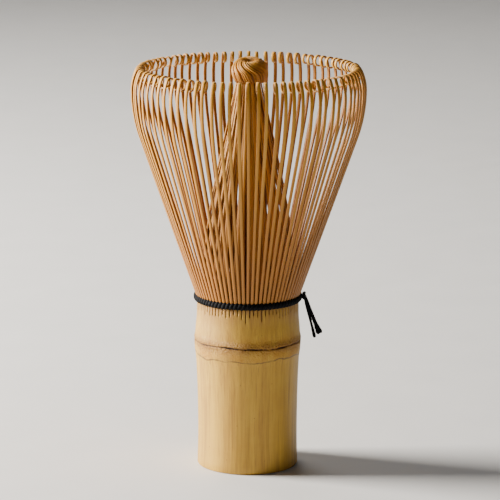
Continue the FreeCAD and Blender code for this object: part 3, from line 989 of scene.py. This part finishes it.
@dataclass
class OuterTines:
    """The flared outer ring: sixteen sprung sectors of five curled tines. Sizes in millimetres."""

    strips: StripTree
    material: Finish
    root: Point = (12.90, 44.12)
    width: float = 0.78
    thickness: float = 0.44
    chamfer: float = 0.42
    shoulder_radius: float = 37.0
    shoulder_centre: Point = (-7.01, 99.2)
    lip_radius: float = 12.0
    lip_centre: Point = (17.99, 99.2)
    lip_turn: float = 24.2
    curl_radius: float = 1.15
    curl_centre: Point = (27.89, 103.64)
    end_radius: float = 1.45
    end_centre: Point = (28.19, 103.64)
    end_turn: float = 292.0
    curl_steps: int = 13
    end_steps: int = 10
    lean: float = 0.34
    sway: float = 0.24
    bow: float = 0.16
    curl_growth: float = 0.10
    curl_twist: float = 6.0
    turn_error: float = 0.12
    uneven: float = 0.07
    low_part: float = 0.08
    root_girth: float = 0.20
    upper_girth: float = 0.14
    root_depth: float = 1.10
    upper_thinning: float = 0.06
    curl_narrowing: float = 0.18
    curl_thinning: float = 0.08
    end_share: float = 0.7

    def profile(self) -> list[Point]:
        """The middle line from the thread to the turned-back end."""
        out, up = self.shoulder_centre[0] - self.root[0], self.shoulder_centre[1] - self.root[1]
        away = math.hypot(out, up)
        heading = math.atan2(up, out) - math.asin(self.shoulder_radius / away)
        length = math.sqrt(away ** 2 - self.shoulder_radius ** 2)
        end = (self.root[0] + length * math.cos(heading), self.root[1] + length * math.sin(heading))
        lip = math.radians(self.lip_turn)
        low = tuple(foot + (head - foot) * self.low_part for foot, head in zip(self.root, end))
        line = [self.root] + run_points(self.root, low, 5)
        line += run_points(line[-1], end, 9)
        line += arc_points(self.shoulder_centre, self.shoulder_radius, heading - math.pi / 2, 0.0, 9)
        line += arc_points(self.lip_centre, self.lip_radius, 0.0, lip, 7)
        line += arc_points(self.curl_centre, self.curl_radius, lip, math.pi, self.curl_steps)
        turn = math.radians(self.end_turn)
        return line + arc_points(self.end_centre, self.end_radius, math.pi, turn, self.end_steps)

    def line(self) -> tuple[Line, float, Point]:
        """One tine's line, with the share of its length and the place where its curl starts."""
        profile = self.profile()
        girth, depth = [], []
        for out, up in profile:
            notch = 1.0 - eased(up - self.root[1], 0.2, 3.4)
            girth.append(1.0 + self.root_girth * notch + self.upper_girth * eased(up, 60.0, 100.0))
            depth.append(self.root_depth - self.upper_thinning * eased(up, 46.0, 100.0))
        start = len(profile) - self.curl_steps - self.end_steps - 1
        for number in range(start, len(profile)):
            share = (number - start) / (len(profile) - 1 - start)
            girth[number] *= 1.0 - self.curl_narrowing * share
            depth[number] *= 1.0 - self.curl_thinning * share
        girth[-1] *= self.end_share
        depth[-1] *= self.end_share
        line = upright_line(profile, girth, depth)
        runs = line.runs()
        return line, runs[start] / runs[-1], profile[start]

    def build(self) -> None:
        """Grow each sector and tie it to its own sprung body."""
        line, share, curl_at = self.line()
        for sector in range(1, SECTORS + 1):
            piece = self.strips.piece(
                f"outer_tine_ring_{sector:02d}", [line] * TINES, self.material, first=(sector - 1) * TINES,
                Width=self.width * MM, Thickness=self.thickness * MM, Chamfer=self.chamfer,
                First_Turn=-2 * PITCH, Pitch=PITCH, Turn_Error=math.radians(self.turn_error),
                Sway=self.sway * MM, Lean=self.lean * MM, Bow=self.bow * MM, Uneven=self.uneven,
                Curl_Start=share, Curl_Centre=(curl_at[0] * MM, 0.0, curl_at[1] * MM),
                Curl_Growth=self.curl_growth, Curl_Twist=math.radians(self.curl_twist), Seed=7)
            settle(piece, f"outer_sector_{sector:02d}", Slot.OUTER, f"outer_tines_{sector:02d}")


@dataclass
class InnerTines:
    """The fine inner tines that lean together under the tip knob. Sizes in millimetres."""

    strips: StripTree
    material: Finish
    root: Point = (11.71, 44.12)
    width: float = 0.80
    thickness: float = 0.36
    chamfer: float = 0.45
    arc_end: float = 76.0
    top: float = 100.75
    top_radius: float = 3.20
    layer_step: float = 0.46
    layers: tuple[int, ...] = (0, 3, 1, 4, 2)
    bow: float = 0.50
    turn_error: float = 1.2
    uneven: float = 0.16
    root_girth: float = 1.16
    waist_loss: float = 0.16
    top_loss: float = 0.26
    top_thinning: float = 0.15

    def slope(self, reach: float) -> float:
        """The lean, in radians, of the straight run that ends at a distance from the axis.

        Args:
            reach: The distance from the axis.

        Returns:
            The lean.
        """
        low, high = 0.0, 0.6
        for _ in range(40):
            lean = (low + high) / 2
            arc = (self.arc_end - self.root[1]) * math.tan(lean / 2)
            end = self.root[0] - arc - (self.top - self.arc_end) * math.tan(lean)
            low, high = (lean, high) if end > reach else (low, lean)
        return low

    def line(self, layer: int) -> Line:
        """One tine's line, its end in one of the layers under the knob.

        Args:
            layer: The layer, 0 for the outermost.

        Returns:
            The line.
        """
        reach = self.top_radius - self.layer_step * layer
        lean = self.slope(reach)
        radius = (self.arc_end - self.root[1]) / math.sin(lean)
        profile = [self.root] + arc_points((self.root[0] - radius, self.root[1]), radius, 0.0, lean, 16)
        profile += run_points(profile[-1], (reach, self.top), 12)
        girth = [self.root_girth - self.waist_loss * eased(up, 50.0, 74.0)
                 - self.top_loss * eased(up, 74.0, 99.0) for _, up in profile]
        depth = [1.0 - self.top_thinning * eased(up, 80.0, 100.0) for _, up in profile]
        return upright_line(profile, girth, depth)

    def build(self) -> None:
        """Grow the sixteen groups of five, all on the whisk's own body."""
        lines = [self.line(layer) for layer in self.layers]
        for sector in range(1, SECTORS + 1):
            piece = self.strips.piece(
                f"inner_tine_group_{sector:02d}", lines, self.material, first=(sector - 1) * TINES,
                Width=self.width * MM, Thickness=self.thickness * MM, Chamfer=self.chamfer,
                First_Turn=-2 * PITCH, Pitch=PITCH, Turn_Error=math.radians(self.turn_error),
                Bow=self.bow * MM, Uneven=self.uneven, Curl_Start=NO_CURL, Seed=27)
            settle(piece, ROOT_BODY, Slot.INNER, f"inner_tines_{sector:02d}")


@dataclass
class TipKnob:
    """The knob that the inner tines' ends are wound into, like a small turban. Sizes in millimetres."""

    strips: StripTree
    strand_finish: Finish
    core_finish: Finish
    foot: float = 100.85
    widest: float = 103.5
    widest_radius: float = 4.5
    crown: float = 106.95
    crown_radius: float = 1.9
    dimple: float = 1.3
    strands: int = 38
    side_sweep: float = -58.0
    top_sweep: float = -80.0
    tilt: float = 0.19
    shift: float = 0.4
    crown_drop: float = 0.22
    side_round: float = 1.35
    sunk: float = 0.30
    strand_cover: float = 0.88
    strand_thickness: float = 0.95
    strand_bow: float = 0.26
    strand_error: float = 3.4
    core_inset: Point = (0.5, 0.45)

    def outline(self) -> list[Point]:
        """The knob's half outline, from under its foot over the crown into the dimple."""
        bulge = self.widest_radius - self.crown_radius
        points = [(1.5, self.foot + 0.5), (2.7, self.foot + 0.15)]
        for step in range(11):
            angle = math.radians(-68 + 68 * step / 10)
            points.append((self.widest_radius - self.side_round + self.side_round * math.cos(angle),
                           self.widest + (self.widest - self.foot) * math.sin(angle)))
        for step in range(1, 15):
            angle = math.radians(90 * step / 14)
            points.append((self.crown_radius + bulge * math.cos(angle),
                           self.widest + (self.crown - self.widest) * math.sin(angle)))
        points += [(1.35, self.crown - 0.18), (0.85, self.crown - 0.55), (0.45, self.crown - self.dimple)]
        return points

    def line(self) -> Line:
        """One strand's line: up the side, over the crown and down into the dimple."""
        outline = self.outline()
        lengths = [0.0]
        for before, after in zip(outline, outline[1:]):
            lengths.append(lengths[-1] + math.dist(before, after))
        points, outward, girth, depth = [], [], [], []
        for number, (out, up) in enumerate(outline):
            share = lengths[number] / lengths[-1]
            before, after = outline[max(number - 1, 0)], outline[min(number + 1, len(outline) - 1)]
            turn = math.radians(self.side_sweep * share + self.top_sweep * eased(share, 0.38, 1.15))
            step = math.hypot(after[0] - before[0], after[1] - before[1])
            normal = ((after[1] - before[1]) / step, (before[0] - after[0]) / step)
            inward = out - self.sunk * normal[0]
            rise = up - self.sunk * normal[1]
            points.append(Vector((inward * math.cos(turn), inward * math.sin(turn), rise)))
            outward.append(Vector((normal[0] * math.cos(turn), normal[0] * math.sin(turn), normal[1])))
            girth.append(max(out, 0.9) / self.widest_radius)
            depth.append(0.55 + 0.45 * eased(out, 0.8, 3.6))
        return Line(points, outward, girth, depth)

    def build_strands(self) -> Thing:
        """Grow the wound strands."""
        width = 2 * math.pi * self.widest_radius / self.strands * self.strand_cover
        piece = self.strips.piece(
            "tip_knob_strands", [self.line()] * self.strands, self.strand_finish, Width=width * MM,
            Thickness=self.strand_thickness * MM, Chamfer=0.7, Pitch=2 * math.pi / self.strands,
            Turn_Error=math.radians(self.strand_error), Bow=self.strand_bow * MM, Uneven=0.26,
            Curl_Start=NO_CURL, Seed=5)
        return self.tilted(piece)

    def tilted(self, piece: Thing) -> Thing:
        """Lift the crown's far side, so that the winding's tuck opens towards the front.

        Args:
            piece: The strands or the core.

        Returns:
            The same piece.
        """
        for vertex in piece.data.vertices:
            high = eased(vertex.co.z / MM, self.widest - 0.6, self.crown)
            vertex.co.z += (self.tilt * vertex.co.y - self.crown_drop * MM) * high
            vertex.co.x += self.shift * MM
        return piece

    def build_core(self) -> Thing:
        """Turn the solid heart that closes the knob between its strands; its darker finish is painted shade
        in the gaps.
        """
        side, crown = self.core_inset
        outline = [(0.0, self.foot + 0.35), (1.3, self.foot + 0.35)]
        outline += [(max(out - side, 0.2), up - (crown if up > self.widest else 0.0))
                    for out, up in self.outline()[1:]]
        outline.append((0.0, outline[-1][1]))
        return self.tilted(lathe("tip_knob_core", outline, 48, self.core_finish))

    def build(self) -> None:
        """Build the knob and tie it to the whisk."""
        settle(self.build_strands(), ROOT_BODY, Slot.KNOB, "tip_knob")
        settle(self.build_core(), ROOT_BODY, Slot.KNOB)


def lathe(name: str, outline: list[Point], columns: int, material: Finish) -> Thing:
    """Turn an outline round the axis into a closed piece.

    Args:
        name: The piece's name.
        outline: Points outward and up, in millimetres, its ends on the axis.
        columns: How many steps round.
        material: The finish.

    Returns:
        The piece.
    """
    vertices, faces = [], []
    for out, up in outline:
        for column in range(columns):
            angle = 2 * math.pi * column / columns
            vertices.append((out * math.cos(angle) * MM, out * math.sin(angle) * MM, up * MM))
    for row in range(len(outline) - 1):
        for column in range(columns):
            after = (column + 1) % columns
            faces.append((row * columns + column, row * columns + after,
                          (row + 1) * columns + after, (row + 1) * columns + column))
    piece = mesh_piece(name, vertices, faces, material)
    count = len(piece.data.vertices)
    for label, value in (("along", 0.5), ("strip", 3.0), ("across", 0.0), ("through", 0.0)):
        hold(piece.data, {label: [value] * count})
    return piece


@dataclass
class CulmGrip:
    """The grip: a length of culm with one node, a hollow at each end and a slit at every tine.

    Sizes in millimetres.
    """

    material: Finish
    radius: float = 13.0
    height: float = 43.9
    bore: float = 9.9
    cavity: float = 10.6
    septum_low: float = 32.0
    septum_top: float = 34.4
    swell_low: float = 28.5
    scar: float = 33.6
    swell_radius: float = 13.6
    ridge_low: float = 13.92
    waist: float = 41.9
    waist_radius: float = 13.3
    top_radius: float = 13.2
    slit_depth: float = 0.75
    slit_width: float = 0.17
    edge: float = 0.45
    scar_depth: float = 0.52
    softness: float = 0.10
    ridge: float = 0.05
    scar_wander: Point = (0.30, 0.07)
    scar_reach: Point = (0.26, 0.16)
    scar_share: Point = (0.62, 0.75)
    shortest_slit: float = 1.0
    slit_spread: float = 1.5
    long_slit: float = 0.9
    long_share: float = 0.12
    rng: random.Random = field(default_factory=lambda: random.Random(23))

    def outline(self) -> list[Point]:
        """The outer outline, height by height, before the culm's own unevenness."""
        levels = [self.edge + (self.swell_low - self.edge) * step / 16 for step in range(17)]
        levels += [self.swell_low + 0.3 * step for step in range(1, 14)]
        levels += [self.scar - 1.1 + 0.1 * step for step in range(24)]
        levels += [self.scar + 1.35 + 0.35 * step for step in range(15)]
        levels += [self.height - 3.7 + 0.23 * step for step in range(16)] + [self.height]
        levels = sorted({round(level, 4) for level in levels if self.edge <= level <= self.height})
        return [(self.girth_at(level), level) for level in levels]

    def girth_at(self, level: float) -> float:
        """The culm's radius at a height.

        Args:
            level: The height.

        Returns:
            The radius.
        """
        knots = ((0.0, self.radius + 0.1), (9.0, self.radius - 0.05), (20.0, self.radius + 0.1),
                 (self.swell_low, self.swell_radius - 0.15), (31.2, self.swell_radius + 0.17),
                 (self.scar - 0.5, self.ridge_low - 0.02), (self.scar + 0.5, self.ridge_low),
                 (self.scar + 1.6, self.swell_radius + 0.10), (37.2, self.swell_radius - 0.06),
                 (39.6, self.waist_radius + 0.02), (self.waist, self.waist_radius - 0.02),
                 (self.height, self.top_radius))
        for number, (low, high) in enumerate(zip(knots, knots[1:])):
            if level <= high[0]:
                before = knots[max(number - 1, 0)]
                after = knots[min(number + 2, len(knots) - 1)]
                span = high[0] - low[0]
                share = (level - low[0]) / span
                rise_low = (high[1] - before[1]) / max(high[0] - before[0], 0.1) * span
                rise_high = (after[1] - low[1]) / max(after[0] - low[0], 0.1) * span
                square, cube = share * share, share ** 3
                return (low[1] * (2 * cube - 3 * square + 1) + rise_low * (cube - 2 * square + share)
                        + high[1] * (3 * square - 2 * cube) + rise_high * (cube - square))
        return self.top_radius

    def columns(self) -> list[tuple[float, int]]:
        """Each column's angle, and the number of the slit that it is the floor of, or -1."""
        half = self.slit_width / 2 / self.top_radius
        spread = []
        for slit in range(SECTORS * TINES):
            centre = PITCH * (slit + 0.5)
            spread += [(centre - half - 0.004, -1), (centre - half, slit), (centre + half, slit),
                       (centre + half + 0.004, -1), (centre + PITCH * 0.33, -1), (centre + PITCH * 0.66, -1)]
        return spread

    def build(self) -> None:
        """Build the grip and tie it to the whisk."""
        columns, outline = self.columns(), self.outline()
        lengths = [self.slit_length(slit) for slit in range(SECTORS * TINES)]
        vertices, rows_held = [], []
        for out, up in outline:
            for angle, slit in columns:
                away, scar = self.uneven(out, up, angle)
                end = self.height - lengths[slit]
                if slit >= 0:
                    cut, stain = eased(up, end - 0.25, end + 0.35), eased(up, end - 1.6, end + 0.6)
                else:
                    cut, stain = 0.0, 0.45 * eased(up, end - 0.4, end + 1.6)
                self.point(vertices, away - self.slit_depth * cut, up, angle)
                rows_held.append((cut, stain, scar, 0.0))
        inner = self.inner_outline()
        for out, up, inside in inner:
            for angle, _ in columns:
                self.point(vertices, out, up, angle)
                rows_held.append((0.0, 0.0, 0.0, inside))
        open_row = len(outline) + sum(1 for _, up, _ in inner if up >= self.septum_top) - 1
        faces = self.faces(len(outline) + len(inner), len(columns), open_row)
        vertices += [(0.0, 0.0, self.septum_top * MM), (0.0, 0.0, self.septum_low * MM)]
        rows_held += [(0.0, 0.0, 0.0, 0.6)] * 2
        held = dict(zip(("cut", "stain", "scar", "inside"), map(list, zip(*rows_held))))
        self.finish_piece(vertices, faces, held)

    def faces(self, rows: int, count: int, open_row: int) -> list[tuple[int, ...]]:
        """The grip's faces: a closed skin, parted at the septum and closed there by two centre points.

        Args:
            rows: How many rows of points.
            count: How many points in a row.
            open_row: The last row over the septum.

        Returns:
            Each face's point numbers.
        """
        faces = []
        for row in range(rows):
            for col in range(count):
                after, below = (col + 1) % count, (row + 1) % rows
                corners = (row * count + col, row * count + after, below * count + after, below * count + col)
                if row != open_row:
                    faces.append(corners)
                    continue
                faces += [corners[:2] + (rows * count,), corners[2:] + (rows * count + 1,)]
        return faces

    def inner_outline(self) -> list[Place]:
        """The way down inside: the top rim, the upper hollow, the septum, the bore and the foot's edge."""
        rim = self.height
        upper = [(self.top_radius - 0.12, rim), (self.cavity + 0.15, rim), (self.cavity, rim - 0.2),
                 (self.cavity, 38.0), (self.cavity, self.septum_top + 0.6),
                 (self.cavity - 0.6, self.septum_top + 0.1), (3.0, self.septum_top)]
        lower = [(3.0, self.septum_low), (self.bore - 0.7, self.septum_low - 0.1),
                 (self.bore, self.septum_low - 0.8), (self.bore + 0.1, 16.0), (self.bore, 0.35),
                 (self.bore + 0.3, 0.0), (self.radius - self.edge * 0.9, 0.0),
                 (self.radius - self.edge * 0.2, self.edge * 0.28)]
        above = [(out, up, 0.55 if out < self.cavity + 0.01 else 0.2) for out, up in upper]
        return above + [(out, up, 0.35 if out <= self.bore + 0.2 else 0.1) for out, up in lower]

    def slit_length(self, slit: int) -> float:
        """How far one slit runs down, each a little different."""
        length = self.shortest_slit + self.slit_spread * self.rng.random()
        return length + (self.long_slit if self.rng.random() < self.long_share else 0.0)

    def uneven(self, out: float, up: float, angle: float) -> tuple[float, float]:
        """The culm's own unevenness at a place, and how deep in the leaf scar it is.

        Args:
            out: The even radius.
            up: The height.
            angle: The angle round the axis.

        Returns:
            The radius there, and the scar's share from 0 to 1.
        """
        around = Vector((math.cos(angle), math.sin(angle), 0.0))
        soft = noise.noise(around * 1.1 + Vector((0.0, 0.0, up * 0.05 + 4.0)))
        ridge = noise.noise(around * 5.0 + Vector((0.0, 0.0, up * 0.5)))
        near = 1.0 - eased(abs(up - self.scar), 0.4, 3.6)
        wander = self.scar_wander[0] * noise.noise(around * 1.6 + Vector((9.0, 0.0, 0.0))) \
            + self.scar_wander[1] * noise.noise(around * 9.0)
        deep = self.scar_share[0] + self.scar_share[1] * noise.noise(around * 4.2 + Vector((0.0, 7.0, 0.0)))
        reach = self.scar_reach[0] + self.scar_reach[1] * noise.noise(around * 2.3 + Vector((3.0, 3.0, 0.0)))
        inside = 1.0 - eased(abs(up - self.scar - wander), reach * 0.3, reach * 1.3)
        scar = inside * min(max(deep, 0.12), 1.0)
        return out + self.softness * soft + self.ridge * near * ridge - self.scar_depth * scar, scar

    def point(self, vertices: list, away: float, up: float, angle: float) -> None:
        """Add one point of the grip.

        Args:
            vertices: The points so far.
            away: How far it is from the axis.
            up: Its height.
            angle: Its angle round the axis.
        """
        vertices.append((away * math.cos(angle) * MM, away * math.sin(angle) * MM, up * MM))

    def finish_piece(self, vertices: list, faces: list, held: dict[str, list[float]]) -> None:
        """Make the grip's mesh, hold its values on it and tie it to the whisk.

        Args:
            vertices: Its points.
            faces: Each face's point numbers.
            held: The values that its finish reads, by name.
        """
        mesh = bpy.data.meshes.new("culm_grip")
        mesh.from_pydata(vertices, [], faces)
        hold(mesh, held)
        mesh.validate()
        turn_outward(mesh)
        mesh.shade_smooth()
        mesh.materials.append(self.material)
        settle(placed("culm_grip", mesh), ROOT_BODY, Slot.CULM, "handle")


class TailEnd(Enum):
    """How a thread's end was left."""

    TRIMMED = "trimmed"
    FRAYED = "frayed"


@dataclass(frozen=True)
class Tail:
    """One free end of the thread: its route from the knot, its thickness and how it ends."""

    name: str
    node: str
    beside: float
    diameter: float
    end: TailEnd
    route: tuple[Point, ...]


@dataclass
class Binding:
    """The black thread: the twined ring outside the tines, the one between them, its knot and two tails."""

    strips: StripTree
    material: Finish
    ring_radius: float = 13.56
    ring_height: float = 44.78
    strand: Point = (0.64, 0.98)
    offset: Point = (0.28, 0.47)
    turns: int = 40
    parting_radius: float = 12.28
    parting_height: float = 44.83
    parting_strand: Point = (0.28, 0.50)
    parting_offset: Point = (0.11, 0.22)
    parting_turns: int = 80
    knot_strand: float = 0.62
    knot_steps: int = 120
    ply_count: int = 4
    ply_offset: float = 0.22
    ply_share: float = 0.6
    ply_turns: float = 2.6
    parted: Point = (0.42, 0.12)
    hair_count: int = 14
    hair_width: float = 0.13
    hair_start: float = 0.66
    knot_centre: Place = (14.605, 0.0, 45.01)
    knot_half: Place = (0.5, 1.1, 1.2)
    tails: tuple[Tail, ...] = (
        Tail("thread_tail_thin", "thread_tail_fine", -0.5, 0.65, TailEnd.TRIMMED,
             ((0.1, -0.3), (0.75, -3.2), (1.85, -7.0), (2.85, -11.2))),
        Tail("thread_tail_loose", "thread_tail_frayed", 0.5, 1.0, TailEnd.FRAYED,
             ((0.2, -0.3), (1.15, -3.1), (2.75, -6.9), (4.15, -10.3))))

    def twined(self, radius: float, height: float, offset: Point, start: float, turns: int) -> Line:
        """One strand of a twined ring.

        Args:
            radius: The ring's radius.
            height: The ring's height.
            offset: How far the strand's middle runs from the ring's, outward and up.
            start: Where in its twist it starts, in radians.
            turns: How many twists go round the ring.

        Returns:
            The closed line.
        """
        count = turns * 16
        points, outward = [], []
        for step in range(count):
            angle = 2 * math.pi * step / count
            twist = start + angle * turns
            away = radius + offset[0] * math.cos(twist)
            rise = height + offset[1] * math.sin(twist)
            points.append(Vector((away * math.cos(angle), away * math.sin(angle), rise)))
            outward.append(Vector((math.cos(angle), math.sin(angle), 0.0)))
        return Line(points, outward, [1.0] * count, [1.0] * count, closed=True)

    def cord_piece(self, name: str, lines: list[Line], strand: Point, seed: int) -> Thing:
        """Grow soft strands along lines.

        Args:
            name: The piece's name.
            lines: The strands' middle lines.
            strand: How thick they are, outward and across.
            seed: The piece's own seed.

        Returns:
            The piece.
        """
        return self.strips.piece(name, lines, self.material, Width=strand[1] * MM, Thickness=strand[0] * MM,
                                 Chamfer=0.58, Curl_Start=NO_CURL, Uneven=0.06, Seed=seed)

    def build_ring(self) -> None:
        """The twined ring: its two strands take the place of the two windings."""
        for number, node in enumerate(("binding_strand_lower", "binding_strand_upper")):
            line = self.twined(self.ring_radius, self.ring_height, self.offset, math.pi * number, self.turns)
            piece = self.cord_piece(f"ring_strand_{number + 1}", [line], self.strand, 31 + number)
            settle(piece, ROOT_BODY, Slot.THREAD, node)

    def build_parting(self) -> None:
        """The twisted strand that parts the outer tines from the inner ones."""
        ring = (self.parting_radius, self.parting_height, self.parting_offset)
        lines = [self.twined(*ring, math.pi * side, self.parting_turns) for side in range(2)]
        piece = self.cord_piece("parting_twist", lines, self.parting_strand, 33)
        settle(piece, ROOT_BODY, Slot.THREAD, "parting_strand")

    def build_knot(self) -> None:
        """The knot: one strand laid over and under itself in three lobes."""
        count, strand = self.knot_steps, self.knot_strand
        points, outward = [], []
        for step in range(count):
            angle = 2 * math.pi * step / count
            side = (math.sin(angle) + 2 * math.sin(2 * angle)) / 3.0
            rise = (math.cos(angle) - 2 * math.cos(2 * angle)) / 3.0
            out = -math.sin(3 * angle)
            swings = zip(self.knot_centre, (out, side, rise), self.knot_half)
            points.append(Vector([middle + share * (half - strand / 2) for middle, share, half in swings]))
            outward.append(Vector((1.0, 0.2 * side, 0.2 * rise)).normalized())
        line = Line(points, outward, [1.0] * count, [1.0] * count, closed=True)
        piece = self.cord_piece("tied_knot", [line], (strand, strand), 35)
        settle(piece, ROOT_BODY, Slot.THREAD, "thread_knot")

    def route_points(self, tail: Tail) -> list[Vector]:
        """The points of a tail's smooth line, read from its NURBS spline.

        Args:
            tail: The tail.

        Returns:
            The points.
        """
        curve = bpy.data.curves.new(tail.name, "CURVE")
        curve.dimensions = "3D"
        spline = curve.splines.new("NURBS")
        spline.points.add(len(tail.route) - 1)
        for place, (out, up) in zip(spline.points, tail.route):
            place.co = (self.knot_centre[0] + out, tail.beside, self.knot_centre[2] + up, 1.0)
        spline.use_endpoint_u = True
        spline.order_u = 3
        spline.resolution_u = 14
        holder = bpy.data.objects.new(tail.name, curve)
        mesh = bpy.data.meshes.new_from_object(holder)
        points = [vertex.co.copy() for vertex in mesh.vertices]
        bpy.data.objects.remove(holder)
        bpy.data.meshes.remove(mesh)
        return points

    def plies(self, points: list[Vector], offset: float, spread: float) -> list[Line]:
        """Strands laid round a tail's line, which part towards its end.

        Args:
            points: The tail's middle line.
            offset: How far each strand runs from the middle line.
            spread: How far each has parted at the end.

        Returns:
            The strands' lines.
        """
        lines = []
        shares = [number / (len(points) - 1) for number in range(len(points))]
        girth = [1.0 + 0.22 * eased(share, 0.8, 0.95) - 0.5 * eased(share, 0.96, 1.0) for share in shares]
        for ply in range(self.ply_count):
            laid, outward = [], []
            for number, (point, share) in enumerate(zip(points, shares)):
                heading = (points[min(number + 1, len(points) - 1)] - points[max(number - 1, 0)]).normalized()
                side = heading.cross(Vector((0.0, 1.0, 0.0))).normalized()
                other = heading.cross(side)
                turn = 2 * math.pi * (ply / self.ply_count + self.ply_turns * share)
                away = offset + spread * eased(share, 0.72, 1.1)
                away *= 0.55 + 0.45 * eased(share, 0.0, 0.15)
                shift = side * math.cos(turn) + other * math.sin(turn)
                laid.append(point + shift * away)
                outward.append(shift)
            lines.append(Line(laid, outward, girth, girth))
        return lines

    def build_tails(self) -> None:
        """The two free ends, one trimmed and one frayed."""
        for number, tail in enumerate(self.tails):
            points = self.route_points(tail)
            frayed = tail.end is TailEnd.FRAYED
            plies = self.plies(points, tail.diameter * self.ply_offset, self.parted[0 if frayed else 1])
            thick = tail.diameter * self.ply_share
            piece = self.cord_piece(tail.name, plies, (thick, thick), 41 + number)
            settle(piece, ROOT_BODY, Slot.THREAD, tail.node)
            if frayed:
                width = (self.hair_width, self.hair_width)
                piece = self.cord_piece(f"{tail.name}_fibres", self.hairs(points), width, 47)
                settle(piece, ROOT_BODY, Slot.THREAD)

    def hairs(self, points: list[Vector]) -> list[Line]:
        """Loose fibres that stand out of a frayed end.

        Args:
            points: The tail's middle line.

        Returns:
            The fibres' lines.
        """
        rng = random.Random(61)
        start = int(len(points) * self.hair_start)
        lines = []
        for _ in range(self.hair_count):
            away = Vector((rng.uniform(-1, 1), rng.uniform(-1, 1), rng.uniform(-0.3, 0.3)))
            reach = rng.uniform(0.3, 0.75)
            laid = [point + away * reach * eased(number / (len(points) - 1), 0.6, 1.12)
                    for number, point in enumerate(points)][start:]
            girth = [1.0 - 0.5 * number / len(laid) for number in range(len(laid))]
            lines.append(Line(laid, [away.normalized()] * len(laid), girth, girth))
        return lines

    def build(self) -> None:
        """Build the whole binding and tie it to the whisk."""
        self.build_ring()
        self.build_parting()
        self.build_knot()
        self.build_tails()


@dataclass(frozen=True)
class SoftLight:
    """One square light, its side and place in metres and its power in watts."""

    name: str
    side: float
    power: float
    place: Place
    colour: Place


@dataclass
class Studio:
    """The pale floor, the soft light from the left and the camera. Sizes in metres."""

    floor_finish: Finish
    floor_side: float = 3.0
    camera_at: Place = (0.0005, -0.75308, 0.21442)
    pitch: float = math.radians(90 - 11.813)
    roll: float = math.radians(0.23)
    lens: float = 213.5
    light_aim: Place = (0.0, 0.0, 0.06)
    lights: tuple[SoftLight, ...] = (
        SoftLight("soft_key", 0.34, 36.0, (-0.78, 0.12, 0.34), (1.0, 0.945, 0.865)),
        SoftLight("soft_fill", 0.9, 0.25, (0.30, -0.95, 0.50), (0.95, 0.97, 1.0)),
        SoftLight("soft_back", 0.6, 3.0, (-0.25, 0.75, 0.70), (1.0, 0.98, 0.95)))
    surround: Colour = (0.86, 0.88, 0.92, 1.0)
    surround_strength: float = 0.05

    def build_floor(self) -> None:
        """Lay the floor under the grip."""
        half = self.floor_side / 2
        corners = [(-half, -half, 0.0), (half, -half, 0.0), (half, half, 0.0), (-half, half, 0.0)]
        mesh = bpy.data.meshes.new("studio_floor")
        mesh.from_pydata(corners, [], [(0, 1, 2, 3)])
        mesh.materials.append(self.floor_finish)
        floor = placed("studio_floor", mesh)

    def build_light(self, light: SoftLight) -> None:
        """Hang one soft light that faces the whisk.

        Args:
            light: The light's settings.
        """
        data = bpy.data.lights.new(light.name, "AREA")
        data.size = light.side
        data.energy = light.power
        data.color = light.colour
        lamp = placed(light.name, data)
        lamp.location = light.place
        aim = Vector(self.light_aim) - Vector(light.place)
        lamp.rotation_euler = aim.to_track_quat("-Z", "Y").to_euler()

    def build_camera(self) -> None:
        """Set the camera at the whisk's front, a little above its rim."""
        lens = bpy.data.cameras.new("front_camera")
        lens.lens = self.lens
        lens.sensor_width = 36.0
        lens.clip_start = 0.01
        camera = placed("front_camera", lens)
        turn = Matrix.Rotation(self.pitch, 4, "X") @ Matrix.Rotation(self.roll, 4, "Z")
        camera.matrix_world = Matrix.Translation(self.camera_at) @ turn
        bpy.context.scene.camera = camera

    def build_world(self) -> None:
        """A pale surround that fills the shadows."""
        world = bpy.data.worlds.new("pale_surround")
        world.use_nodes = True
        sky = world.node_tree.nodes["Background"]
        sky.inputs["Color"].default_value = self.surround
        sky.inputs["Strength"].default_value = self.surround_strength
        bpy.context.scene.world = world

    def build(self) -> None:
        """Build floor, lights, surround and camera."""
        self.build_floor()
        for light in self.lights:
            self.build_light(light)
        self.build_world()
        self.build_camera()


def main() -> None:
    """Build the whole whisk, piece by piece, and its studio."""
    logging.basicConfig(level=logging.INFO, format="%(name)s %(message)s")
    effects = Effects()
    strips = StripTree()
    outer = SplitBambooFinish("outer tine bamboo")
    inner = SplitBambooFinish("inner tine bamboo", warm=(0.500, 0.200, 0.030, 1.0), tip_highlight_share=0.1)
    wound = SplitBambooFinish("wound strand bamboo", length=0.02, tip_highlight_share=0.0, fineness=3.2, relief=0.00012)
    # The knob's heart gets a darker bamboo: painted shade, seen in the gaps between the wound strands.
    heart = SplitBambooFinish("knob heart bamboo", pale=(0.36, 0.165, 0.045, 1.0),
                              warm=(0.25, 0.10, 0.022, 1.0))
    culm = CulmFinish("culm skin", node_height=0.0336, band_low=0.0302, top=0.0439)
    thread, floor = ThreadFinish("black thread"), FloorFinish("pale floor")
    CulmGrip(culm.material(effects)).build()
    OuterTines(strips, outer.material(effects)).build()
    InnerTines(strips, inner.material(effects)).build()
    TipKnob(strips, wound.material(effects), heart.material(effects)).build()
    Binding(strips, thread.material(effects)).build()
    Studio(floor.material(effects)).build()


if __name__ == "__main__":
    main()
